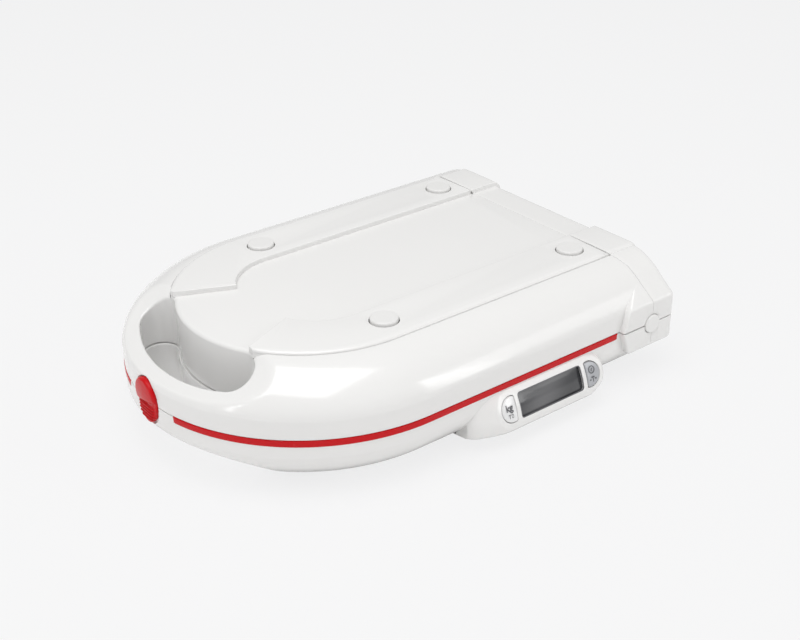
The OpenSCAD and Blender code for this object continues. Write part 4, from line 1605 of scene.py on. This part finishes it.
@dataclass
class DisplayPod:
    """Display housing on the lower half's side, with its window and two keys.

    Everything on the face is drawn in face coordinates (u, v, w): u along the case
    from the middle of the face, v up the face and w out of it.

    Attributes:
        finishes: the materials.
        mid_x: place of the face's middle along the case.
        tilt: degrees that the face leans, its lower edge inwards.
        face_h: height of the flat face.
        half_l: half length of the face.
        bulge: height of the crown in the middle of the face.
        corner: radius of the face's corners.
        window: half length and half height of the window.
        key_u: distance of the keys from the middle of the face.
        key_r: radius of a key's round side.
        key_flat: distance of a key's flat side from its middle.
        print_lift: height of the printed marks over the face.
        front_flank: how fast the flank falls back towards the round front.
        rear_flank: how fast the flank falls back towards the hinge.
        deepest: how far a flank falls back at most.
    """

    finishes: Finishes
    mid_x: float = 100.0
    tilt: float = 21.0
    face_h: float = 27.0
    half_l: float = 49.0
    bulge: float = 1.8
    corner: float = 12.0
    window: tuple[float, float] = (29.0, 9.0)
    key_u: float = 36.0
    key_r: float = 9.0
    key_flat: float = 3.0
    print_lift: float = 0.315
    front_flank: float = 0.46
    rear_flank: float = 1.9
    deepest: float = 24.0

    @property
    def top(self) -> np.ndarray:
        """Top edge of the face in the Y-Z plane."""
        return np.array([-(CASE.radius + 0.8), -5.2])

    @property
    def mid(self) -> np.ndarray:
        """Middle of the flat face, under its crown."""
        t = math.radians(self.tilt)
        return self.top + self.face_h / 2 * np.array([-math.sin(t), -math.cos(t)])

    def crown(self, v: Values) -> Values:
        """Height of the crowned face over the flat one."""
        r = ((self.face_h / 2) ** 2 + self.bulge**2) / (2 * self.bulge)
        return np.sqrt(np.maximum(r * r - np.asarray(v) ** 2, 0)) - (r - self.bulge)

    def to_case(self, uvw: Points) -> np.ndarray:
        """Face coordinates to case coordinates.

        Args:
            uvw: points in face coordinates.

        Returns:
            The points in case coordinates.
        """
        uvw = np.asarray(uvw, dtype=float)
        t = math.radians(self.tilt)
        y = self.mid[0] + uvw[..., 1] * math.sin(t) - uvw[..., 2] * math.cos(t)
        z = self.mid[1] + uvw[..., 1] * math.cos(t) + uvw[..., 2] * math.sin(t)
        return np.stack([self.mid_x + uvw[..., 0], y, z], axis=-1)

    def section(self) -> tuple:
        """Section of the housing as (y, z, v) points, from the wall down and under.

        Returns:
            The points of the section, and the place up the face of each.
        """
        v = np.linspace(self.face_h / 2, -self.face_h / 2, 26)
        face = self.to_case(np.stack([v * 0, v, self.crown(v)], axis=1))[:, 1:]
        end = face[-1]
        corner = end + [1.9, -3.2]
        inner_end = [-110, -35.4]
        stops = [face[-2], end + [0.15, -0.9], corner, corner + [16, -2.6], inner_end]
        line = filleted(stops, [0, 2.5, 2.2, 6, 0], 5)
        under = spaced(line[1:], 1.6)
        top_edge = np.array([[-126.5, -4.9], [-130.2, -4.95], [-131.2, -5.05]])
        pts = np.concatenate([top_edge, face, under])
        vs = np.concatenate([np.full(3, v[0]), v, np.full(len(under), v[-1])])
        return pts, vs

    def skin(self) -> np.ndarray:
        """Rows of the housing's outer surface, one for each place along the case.

        Returns:
            The rows of points.
        """
        pts, vs = self.section()
        front_end, flat_end, rear_end, blend = -67, 36, 61, 1.2
        middle = np.linspace(-flat_end, flat_end, 50)[1:-1]
        front, rear = np.linspace(front_end, -flat_end, 52), np.linspace(flat_end, rear_end, 52)
        us = np.concatenate([front, middle, rear])
        rows = []
        a, b = self.half_l - self.corner, self.face_h / 2 - self.corner
        for u in us:
            qx = np.maximum(abs(u) - a, 0)
            qy = np.maximum(np.abs(vs) - b, 0)
            q = np.hypot(qx, qy) - self.corner
            q = np.where(qx > 0, q, -5.0)
            soft = np.where(q > -blend, (q + blend) ** 2 / (4 * blend), 0.0)
            soft = np.where(q > blend, q, soft)
            flank = self.front_flank if u < 0 else self.rear_flank
            drop = np.minimum(flank * soft, self.deepest) + 0.1 * max(abs(u) - rear_end, 0) ** 2
            y = pts[:, 0] + drop
            rows.append(np.column_stack([np.full(len(pts), self.mid_x + u), y, pts[:, 1]]))
        return np.array(rows)

    def housing(self) -> bpy.types.Object:
        """Makes the housing and cuts the window and key openings.

        Returns:
            The object.
        """
        rows = self.skin()
        shape = Shape("display_housing")
        back = rows.copy()
        back[..., 1] = np.maximum(back[..., 1] + 4, -117.0)
        shape.grid(rows)
        shape.grid(back)
        for i in (0, -1):
            shape.grid([rows[i], back[i]])
        for j in (0, -1):
            shape.grid([rows[:, j], back[:, j]])
        obj = shape.build(self.finishes.shell, None, "lower_case", "display_housing", weld=0.001)
        cutters = [self.opening(self.window_ring(0.12), "window_cut")]
        cutters += [self.opening(self.key_ring(s, 0.45), "key_cut", -6.5) for s in (-1, 1)]
        cut(obj, cutters, angle=30)
        return obj

    def opening(self, ring: np.ndarray, name: str, floor: float = -3.2) -> bpy.types.Object:
        """Cutter through the face with a small rounded lip.

        Args:
            ring: closed outline.
            name: the piece's name.
            floor: depth of the opening.

        Returns:
            The object.
        """
        shape = Shape(name)
        n = line_normals(ring, closed=True)
        area = np.sum(ring[:, 0] * np.roll(ring[:, 1], -1) - np.roll(ring[:, 0], -1) * ring[:, 1])
        n *= -1 if area > 0 else 1
        lip = ((0.0, -0.45), (0.06, -0.2), (0.22, -0.04), (0.5, 0.03), (0.8, 0.05))
        rows = []
        for grow, w in ((0.0, floor), *lip, (0.8, 3.0)):
            p = ring + n * grow
            base = self.crown(p[:, 1]) if -3 < w < 3 else self.crown(p[:, 1] * 0)
            rows.append(self.to_case(np.column_stack([p, base + w])))
        shape.grid(rows, closed_columns=True)
        shape.flat(rows[0])
        shape.flat(rows[-1])
        return cutter_of(shape)

    def window_ring(self, grow: float) -> np.ndarray:
        """Outline of the window.

        Args:
            grow: how far the outline is widened.

        Returns:
            The outline.
        """
        w, h = self.window[0] + grow, self.window[1] + grow
        r = 2.2 + grow
        ring = []
        for sx, sy, start in ((1, 1, 0), (-1, 1, 90), (-1, -1, 180), (1, -1, 270)):
            ring.append(arc(sx * (w - r), sy * (h - r), r, r, start, start + 90, 8))
        return spaced(np.concatenate(ring), 3.0, closed=True)

    def key_ring(self, side: int, grow: float) -> np.ndarray:
        """Outline of a D-shaped key; the flat side faces the window.

        Args:
            side: -1 for the unit key, 1 for the power key.
            grow: how far the outline is widened.

        Returns:
            The outline.
        """
        r, flat = self.key_r + grow, self.key_u - self.key_flat - grow
        a = math.degrees(math.acos((flat - self.key_u) / r))
        curve = arc(self.key_u, 0, r, r, -a + 5, a - 5, 44)
        corner_r = 1.0
        top = np.array([flat, curve[-1][1] - corner_r * 0.6])
        edge = spaced([top, [flat, -top[1]]], 2.0)
        ring = np.concatenate([curve, edge])
        return ring * [side, 1]

    def window_rim(self) -> bpy.types.Object:
        """Thin black edge of the window's glass, just under the face.

        Returns:
            The object.
        """
        shape = Shape("window_rim")
        rows = []
        for grow, w in ((0.1, -0.7), (0.1, -0.25), (-0.55, -0.25), (-0.55, -0.7), (0.1, -0.7)):
            p = self.window_ring(grow)
            rows.append(self.to_case(np.column_stack([p, self.crown(p[:, 1]) + w])))
        shape.grid(rows, closed_columns=True)
        obj = shape.build(self.finishes.print, None, "lower_case")
        return obj

    def face_piece(
        self,
        name: str,
        ring: np.ndarray,
        low: float,
        high: float,
        wide: float,
        deep: float,
        finish: bpy.types.Material,
        body: str,
        node: str,
    ) -> bpy.types.Object:
        """A pillow-shaped piece that lies on the crowned face.

        Args:
            name: the piece's name.
            ring: closed outline.
            low: height of its back over the face.
            high: height of its front over the face.
            wide: width of the rounded edge.
            deep: depth of the rounded edge.
            finish: the material.
            body: the CAD body.
            node: the CAD node.

        Returns:
            The object.
        """
        flat = Shape(name)
        pillow(flat, ring, low, high, np.full(len(ring), wide), np.full(len(ring), deep))
        p = np.array(flat.points)
        p[:, 2] += self.crown(p[:, 1])
        flat.points = self.to_case(p).tolist()
        return flat.build(finish, None, body, node, weld=0.0005, angle=50)

    def key(self, side: int, body: str, finish: bpy.types.Material) -> bpy.types.Object:
        """One key with its stem.

        Args:
            side: -1 for the unit key, 1 for the power key.
            body: the CAD body.
            finish: the material.

        Returns:
            The object.
        """
        ring = self.key_ring(side, 0.0)
        obj = self.face_piece(body, ring, -1.9, 0.3, 0.9, 0.7, finish, body, body)
        stem = Shape(f"{body}_stem")
        t = np.linspace(0, 2 * math.pi, 24, endpoint=False)
        u, v, low, high = side * self.key_u + 2 * np.cos(t), 2 * np.sin(t), -2.6, -0.6
        rows = [np.column_stack([u, v, t * 0 + w]) for w in (low, high)]
        stem.grid(rows, closed_columns=True)
        stem.flat(rows[0])
        stem.flat(rows[1])
        stem.points = self.to_case(stem.points).tolist()
        back = stem.build(finish, None, body)
        return obj

    def print_on(self, name: str, body: str, strokes: list, lift: float) -> bpy.types.Object:
        """Thin printed strokes on a key.

        Args:
            name: the object's name.
            body: the CAD body of the key.
            strokes: closed outlines or (inner, outer) line pairs in face coordinates.
            lift: height over the crown.

        Returns:
            The object.
        """
        shape = Shape(name)
        for inner, outer in strokes:
            rows = []
            for line in (inner, outer):
                line = np.asarray(line, dtype=float)
                rows.append(self.to_case(np.column_stack([line, self.crown(line[:, 1]) + lift])))
            shape.grid(rows, away=lambda p: np.tile([0.0, -1.0, 0.3], (len(p), 1)))
        obj = shape.build(self.finishes.print, None, body, recalc=False)
        return obj

    def marks(self) -> None:
        """Generic function marks: power and tare on one key, unit and zero on the other."""
        u = self.key_u + 2.0
        marks = [self.stroke_arc(u, 2.8, 2.5, 0, 360, 0.42)]
        marks.append(self.stroke([[u - 0.5, 1.7], [u + 0.5, 3.9]], 0.4))
        marks.append(self.stroke([[u - 1.5, -2.6], [u + 1.5, -2.6]], 0.5))
        marks.append(self.stroke([[u, -2.6], [u, -6.2]], 0.5))
        marks += [self.stroke([[u + s * 3.2, -4.2], [u + s * 1.8, -4.2]], 0.7) for s in (-1, 1)]
        self.print_on("power_mark", "power_key", marks, self.print_lift)
        u = -self.key_u - 2.9
        self.letters("kg", u, 1.6, 6.6, 0.16)
        self.letters("T0", u + 0.4, -4.4, 4.2, 0.0)

    def stroke(self, points: list, width: float) -> tuple:
        """A straight stroke as a pair of lines.

        Args:
            points: both ends of the stroke.
            width: width of the stroke.

        Returns:
            The inner and outer line.
        """
        a, b = np.asarray(points, dtype=float)
        d = (b - a) / np.linalg.norm(b - a)
        n = np.array([-d[1], d[0]]) * width / 2 * 1.6
        return np.array([a - n, b - n]), np.array([a + n, b + n])

    def stroke_arc(self, u: float, v: float, r: float, start: float, end: float, width: float) -> tuple:
        """A round stroke as a pair of arcs."""
        w = width * 0.8
        return arc(u, v, r - w, r - w, start, end, 40), arc(u, v, r + w, r + w, start, end, 40)

    def letters(self, text: str, u: float, v: float, size: float, bold: float) -> None:
        """Small printed letters on the unit key.

        Args:
            text: the letters.
            u: place along the face.
            v: place up the face.
            size: height of the letters.
            bold: how much the strokes are thickened.
        """
        curve = bpy.data.curves.new("unit_mark", "FONT")
        curve.body, curve.size, curve.align_x, curve.align_y = text, size, "CENTER", "CENTER"
        curve.resolution_u = 4
        curve.offset = bold
        helper = linked("unit_mark_helper", curve)
        deps = bpy.context.evaluated_depsgraph_get()
        mesh = bpy.data.meshes.new_from_object(helper.evaluated_get(deps))
        bpy.data.objects.remove(helper)
        co = np.array([list(p.co) for p in mesh.vertices])
        uv = np.column_stack([co[:, 0] + u, co[:, 1] + v])
        done = placed(self.to_case(np.column_stack([uv, self.crown(uv[:, 1]) + self.print_lift])))
        for vert, p in zip(mesh.vertices, done):
            vert.co = p
        mesh.materials.clear()
        mesh.materials.append(self.finishes.print)
        obj = linked(f"mark_{text}", mesh)
        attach(obj, "unit_key")

    def build(self) -> None:
        """Makes the housing, the window and the keys."""
        self.housing()
        name, ring, glass = "display_window", self.window_ring(0.0), self.finishes.window
        self.face_piece(name, ring, -2.1, -1.75, 0.3, 0.2, glass, "lower_case", name)
        self.window_rim()
        self.key(-1, "unit_key", self.finishes.key_white)
        self.key(1, "power_key", self.finishes.key_silver)
        self.marks()


# ---------------------------------------------------------------- latch and battery door


@dataclass
class LatchButton:
    """Oval red latch on the front: a dome above, a slanting lip and grip ribs below.

    Attributes:
        finishes: the materials.
        half_w: half width.
        half_h: half height.
        taper: share by which the upper end is wider and the lower end narrower.
        rib_pitch: distance from one grip rib to the next.
    """

    finishes: Finishes
    half_w: float = 12.6
    half_h: float = 16.4
    taper: float = 0.13
    rib_pitch: float = 2.3

    def height(self, y: np.ndarray, z: np.ndarray) -> np.ndarray:
        """How far the face stands out of the case's wall.

        Args:
            y: places across the button.
            z: places up the button.

        Returns:
            The heights.
        """
        peak, peak_z, slant, step_out = 2.75, 7, 0.22, 0.7
        first_rib, last_rib = -1.6, -13.4
        dome = peak - 0.007 * (z - peak_z) ** 2 - 0.0035 * y**2
        lip = smooth_step(-1.2, 1.4, z + slant * y)
        ribs = 0.45 + 0.85 * np.clip(np.cos((z + 1.2) * 2 * math.pi / self.rib_pitch), -0.5, 0.8)
        inside = 1 - smooth_step(8.6, 10.2, np.abs(y))
        low = step_out + np.where((z < first_rib) & (z > last_rib), ribs, 0.3) * inside
        return low + (dome - low) * lip

    def build(self) -> bpy.types.Object:
        """Makes the button's face, its rim, the stem and the arm.

        Returns:
            The object.
        """
        rim = [0.915, 0.93, 0.945, 0.957, 0.968, 0.978, 0.986, 0.993, 0.998, 1.0]
        radial = np.concatenate([np.linspace(0, 0.9, 66), rim])
        turn = np.linspace(0, 2 * math.pi, 180, endpoint=False)
        shape = Shape("latch_button")
        mean_r, edge = (self.half_w + self.half_h) / 2, 1.4
        rows = []
        for rho in radial:
            y = self.half_w * rho * np.cos(turn) * (1 + self.taper * np.sin(turn))
            z = self.half_h * rho * np.sin(turn)
            out = self.height(y, z) - rounding(np.full_like(y, (1 - rho) * mean_r), edge)
            r = CASE.radius + out
            rows.append(np.column_stack([-np.sqrt(r * r - y * y), y, z]))
        y = self.half_w * np.cos(turn) * (1 + self.taper * np.sin(turn))
        z = self.half_h * np.sin(turn)
        r = CASE.radius - 1.9
        rows.append(np.column_stack([-np.sqrt(r * r - y * y), y, z]))
        rows.append(np.column_stack([np.full_like(y, -CASE.radius + 2.4), y * 0.9, z * 0.9]))
        shape.grid(rows, closed_columns=True)
        shape.flat(rows[-1])
        stem = (-CASE.radius + 1.6, -4.5, -11.9), (-122.6, 4.5, -6)
        arm = (-123.6, -4.6, -12), (-122.4, 4.6, 8)
        arm_end = (-124.1, -4.5, 6), (-122.6, 4.5, 7.9)
        for low, high in (stem, arm, arm_end):
            shape.sweep_box(low, high, 0.3)
        return shape.build(self.finishes.red, None, "latch", "latch_button", angle=50)


@dataclass
class GripRibs:
    """A row of equal grip ribs along X, made with Geometry Nodes.

    Attributes:
        count: number of ribs.
        pitch: distance from rib to rib in millimetres.
        size: length, width and height of one rib in millimetres.
        finish: the material.
    """

    count: int
    pitch: float
    size: Triple
    finish: bpy.types.Material

    def tree(self, name: str) -> tuple:
        """Makes the node tree and the values of its named inputs.

        Args:
            name: the tree's name.

        Returns:
            The tree, and a dict from socket identifier to value.
        """
        tree = bpy.data.node_groups.new(name, "GeometryNodeTree")
        face = tree.interface
        face.new_socket(name="Geometry", in_out="OUTPUT", socket_type="NodeSocketGeometry")
        wanted = {
            "Rib Count": ("NodeSocketInt", self.count),
            "Rib Pitch": ("NodeSocketVector", (self.pitch * MM, 0.0, 0.0)),
            "Rib Size": ("NodeSocketVector", tuple(v * MM for v in self.size)),
            "Finish": ("NodeSocketMaterial", self.finish),
        }
        values = {}
        for label, (kind, value) in wanted.items():
            values[face.new_socket(name=label, in_out="INPUT", socket_type=kind).identifier] = value
        inputs, outputs = tree.nodes.new("NodeGroupInput"), tree.nodes.new("NodeGroupOutput")
        line = tree.nodes.new("GeometryNodeMeshLine")
        rib = tree.nodes.new("GeometryNodeMeshCube")
        copies = tree.nodes.new("GeometryNodeInstanceOnPoints")
        real = tree.nodes.new("GeometryNodeRealizeInstances")
        paint = tree.nodes.new("GeometryNodeSetMaterial")
        links = (
            (inputs.outputs["Rib Count"], line.inputs["Count"]),
            (inputs.outputs["Rib Pitch"], line.inputs["Offset"]),
            (inputs.outputs["Rib Size"], rib.inputs["Size"]),
            (line.outputs["Mesh"], copies.inputs["Points"]),
            (rib.outputs["Mesh"], copies.inputs["Instance"]),
            (copies.outputs["Instances"], real.inputs["Geometry"]),
            (real.outputs["Geometry"], paint.inputs["Geometry"]),
            (inputs.outputs["Finish"], paint.inputs["Material"]),
            (paint.outputs["Geometry"], outputs.inputs["Geometry"]),
        )
        for start, end in links:
            tree.links.new(start, end)
        return tree, values

    def build(self, name: str, start: Triple) -> bpy.types.Object:
        """Makes the ribs as one plain mesh.

        Args:
            name: the piece's name.
            start: middle of the first rib in case coordinates.

        Returns:
            The object, at the origin.
        """
        helper = linked(f"{name}_helper", bpy.data.meshes.new(f"{name}_helper"))
        tree, values = self.tree(f"{name}_nodes")
        rule = helper.modifiers.new("ribs", "NODES")
        rule.node_group = tree
        for identifier, value in values.items():
            rule[identifier] = value
        deps = bpy.context.evaluated_depsgraph_get()
        mesh = bpy.data.meshes.new_from_object(helper.evaluated_get(deps))
        bpy.data.objects.remove(helper)
        mesh.transform(Matrix.Translation(Vector(placed(list(start)).tolist())))
        obj = linked(name, mesh)
        edge = obj.modifiers.new("edge", "BEVEL")
        edge.width, edge.segments = 0.25 * MM, 2
        log.info("%s is %d ribs", name, self.count)
        return obj


@dataclass
class BatteryDoor:
    """Sliding door in the lower half's recess, with its rails.

    Attributes:
        finishes: the materials.
        mid_x: place of the door's middle along the case.
        size: half length and half width of the door.
    """

    finishes: Finishes
    mid_x: float = 60.0
    size: tuple[float, float] = (35.0, 31.95)

    def build(self) -> None:
        """Makes the door with its grip bars, and the rails on the base plate."""
        a, b = self.size
        shape = Shape("battery_door")
        door_low, door_high, rail_low, rail_top = 39.6, 41.1, 38.9, 42.7
        shape.sweep_box((self.mid_x - a, -b, door_low), (self.mid_x + a, b, door_high), 0.35)
        shape.build(self.finishes.plate, Half.LOWER, "battery_door", "battery_door")
        grip = GripRibs(count=5, pitch=3.0, size=(1.4, 24.0, 0.8), finish=self.finishes.plate)
        obj = grip.build("battery_door_grip", (self.mid_x + a - 19, 0, -41.0))
        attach(obj, "battery_door")
        rails = Shape("battery_door_rails")
        for s in (-1, 1):
            y0, y1 = sorted((s * 32.25, s * 34.45))
            rails.sweep_box((self.mid_x - a - 1.9, y0, rail_low), (self.mid_x + a - 0.1, y1, 42.4), 0.35)
            y0, y1 = sorted((s * 30.35, s * 34.4))
            rails.sweep_box((self.mid_x - a - 2, y0, 41.7), (self.mid_x + a, y1, rail_top), 0.3)
        rails.sweep_box((self.mid_x - a - 1.8, -b, rail_low), (self.mid_x - a - 0.3, b, 42.5), 0.35)
        obj = rails.build(self.finishes.plate, Half.LOWER)


def bay_cutter() -> bpy.types.Object:
    """Cutter of the battery opening in the lower base plate.

    Returns:
        The cutter.
    """
    mid, half_l, half_w = BatteryDoor.mid_x, 30.4, 26.65
    bay = Shape("bay").sweep_box((mid - half_l, -half_w, 30), (mid + half_l, half_w, 50), 0.5)
    return cutter_of(bay, Half.LOWER)


# ---------------------------------------------------------------- CAD pieces that stay


def dress(names: list, finish: bpy.types.Material, angle: float = 30) -> None:
    """Gives CAD nodes a procedural finish and smooth shading.

    Args:
        names: the CAD nodes.
        finish: the material.
        angle: edges sharper than this many degrees stay sharp.
    """
    for name in names:
        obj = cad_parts[name]
        obj.data.materials.clear()
        obj.data.materials.append(finish)
        smooth(obj, angle)
        log.info("%s keeps its CAD mesh", name)


def dress_inner(fin: Finishes) -> None:
    """Finishes of the trays and of everything inside the case.

    Args:
        fin: the finishes.
    """
    dress(["upper_tray", "lower_tray"], fin.tray, 24)
    halves = [h.word for h in Half]
    steel = [f"{h}_{kind}_screws" for kind in ("tray", "board") for h in halves]
    steel += ["latch_keeper", "hinge_pins", "key_switches", "battery_contacts", "latch_spring"]
    steel += [f"{h}_load_cell_{i}" for h in halves for i in range(1, 5)]
    dress(steel, fin.steel)
    dress(["upper_junction_board", "main_board", "display_board"], fin.green)
    dress(["battery_box", "lcd_module"], fin.grey)
    dress(["battery_cells"], fin.jacket)


# ---------------------------------------------------------------- stage


@dataclass(frozen=True)
class Camera:
    """The photograph's camera, fitted to it over the feet, edges and seams.

    Attributes:
        azimuth: degrees round the object, from -Y towards +X.
        elevation: degrees above the horizon.
        roll: degrees about the line of sight.
        focal_px: focal length in pixels of the photograph.
        distance: distance from the case's middle in millimetres.
        shift_right: sideways offset of the camera in millimetres.
        shift_up: upward offset of the camera in millimetres.
        picture_px: width of the photograph in pixels.
        sensor: width of the sensor in millimetres.
    """

    azimuth: float = -37.584
    elevation: float = 28.370
    roll: float = -0.800
    focal_px: float = 1285.065
    distance: float = 953.544
    shift_right: float = -10.926
    shift_up: float = -14.813
    picture_px: float = 800.0
    sensor: float = 36.0

    def build(self) -> bpy.types.Object:
        """Makes the camera.

        Returns:
            The camera object.
        """
        a, e, r = (math.radians(v) for v in (self.azimuth, self.elevation, self.roll))
        back = Vector((math.sin(a) * math.cos(e), -math.cos(a) * math.cos(e), math.sin(e)))
        right = (-back).cross(Vector((0, 0, 1))).normalized()
        up = right.cross(-back)
        place = right * self.shift_right + up * self.shift_up + back * self.distance
        place.x += CASE.foot_mid
        x, y = right * math.cos(r) + up * math.sin(r), up * math.cos(r) - right * math.sin(r)
        data = bpy.data.cameras.new("camera")
        data.sensor_width, data.lens = self.sensor, self.focal_px / self.picture_px * self.sensor
        data.clip_start, data.clip_end = 0.05, 50
        obj = linked("camera", data)
        turn = Matrix((x, y, back)).transposed()
        obj.matrix_world = Matrix.Translation(Vector(placed(list(place)).tolist())) @ turn.to_4x4()
        bpy.context.scene.camera = obj
        return obj


@dataclass(frozen=True)
class Softbox:
    """A rectangular studio light that looks at the object.

    Attributes:
        name: the light's name.
        place: where it stands, in metres.
        size: its two sides in metres.
        power: its power in watts.
        aim: the point that it looks at, in metres.
    """

    name: str
    place: Triple
    size: tuple[float, float]
    power: float
    aim: Triple = (0.0, 0.0, 0.03)

    def build(self) -> None:
        """Makes the light."""
        data = bpy.data.lights.new(self.name, "AREA")
        data.shape, data.size, data.size_y, data.energy = "RECTANGLE", *self.size, self.power
        obj = linked(self.name, data)
        way = Vector(self.aim) - Vector(self.place)
        turn = way.to_track_quat("-Z", "Y").to_matrix().to_4x4()
        obj.matrix_world = Matrix.Translation(self.place) @ turn


def make_floor() -> None:
    """Pale floor that keeps its shadow, and shows as the backdrop's colour."""
    mesh = bpy.data.meshes.new("floor")
    s, seen_share = 12.0, 0.87
    mesh.from_pydata([(-s, -s, 0), (s, -s, 0), (s, s, 0), (-s, s, 0)], [], [(0, 1, 2, 3)])
    floor = linked("floor", mesh)
    mat = bpy.data.materials.new("floor_paper")
    mat.use_nodes = True
    tree = mat.node_tree
    shader = tree.nodes["Principled BSDF"]
    shader.inputs["Base Color"].default_value = (0.90, 0.90, 0.90, 1)
    shader.inputs["Roughness"].default_value = 0.9
    shader.inputs["Specular IOR Level"].default_value = 0.1
    paper = tree.nodes.new("ShaderNodeEmission")
    paper.inputs["Color"].default_value = (0.916, 0.916, 0.920, 1)
    share = tree.nodes.new("ShaderNodeMath")
    share.operation = "MULTIPLY"
    share.inputs[1].default_value = seen_share
    path = tree.nodes.new("ShaderNodeLightPath")
    mix = tree.nodes.new("ShaderNodeMixShader")
    tree.links.new(path.outputs["Is Camera Ray"], share.inputs[0])
    tree.links.new(share.outputs["Value"], mix.inputs["Fac"])
    tree.links.new(shader.outputs["BSDF"], mix.inputs[1])
    tree.links.new(paper.outputs["Emission"], mix.inputs[2])
    tree.links.new(mix.outputs["Shader"], tree.nodes["Material Output"].inputs["Surface"])
    mesh.materials.append(mat)
    floor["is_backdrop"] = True


def make_world() -> None:
    """Even white surroundings; the camera sees the backdrop's colour."""
    world = bpy.data.worlds.new("studio")
    bpy.context.scene.world = world
    world.use_nodes = True
    tree = world.node_tree
    light = tree.nodes["Background"]
    light.inputs["Color"].default_value = (1, 1, 1, 1)
    light.inputs["Strength"].default_value = 0.545
    seen = tree.nodes.new("ShaderNodeBackground")
    seen.inputs["Color"].default_value = (0.866, 0.866, 0.868, 1)
    seen.inputs["Strength"].default_value = 1.0
    path = tree.nodes.new("ShaderNodeLightPath")
    mix = tree.nodes.new("ShaderNodeMixShader")
    tree.links.new(path.outputs["Is Camera Ray"], mix.inputs["Fac"])
    tree.links.new(light.outputs["Background"], mix.inputs[1])
    tree.links.new(seen.outputs["Background"], mix.inputs[2])
    tree.links.new(mix.outputs["Shader"], tree.nodes["World Output"].inputs["Surface"])


def make_stage() -> None:
    """Makes the floor, the world, the lights and the camera."""
    make_floor()
    make_world()
    Softbox("key_light", (-0.35, -0.2, 1.5), (1.2, 1.2), 14.2).build()
    Softbox("side_light", (1.45, -1.3, 0.7), (1.0, 0.8), 3.2).build()
    Softbox("strip_near", (0.62, -1.03, 0.42), (0.1, 0.7), 0.95).build()
    Softbox("strip_front", (-1.25, -0.2, 0.5), (0.1, 0.7), 1.0).build()
    Camera().build()
    bpy.context.scene.view_settings.view_transform = "Standard"


# ---------------------------------------------------------------- main


def main() -> None:
    """Builds the scale's looks in order, then the stage."""
    logging.basicConfig(level=logging.INFO, format="%(message)s")
    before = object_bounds()
    fin = Finishes()
    for half in Half:
        Shell(half, fin).build()
        BasePlate(half, fin).build()
    EndCover(Half.UPPER, fin, (1,)).build()
    EndCover(Half.LOWER, fin, (0, 2)).build()
    trim = Trim(fin)
    trim.stripe()
    trim.feet()
    trim.caps()
    DisplayPod(fin).build()
    LatchButton(fin).build()
    BatteryDoor(fin).build()
    dress_inner(fin)
    make_stage()
    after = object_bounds()
    boxes = {"before": before, "after": after}
    sizes = {k: [[float(x) for x in corner] for corner in b] for k, b in boxes.items()}


if __name__ == "__main__":
    main()
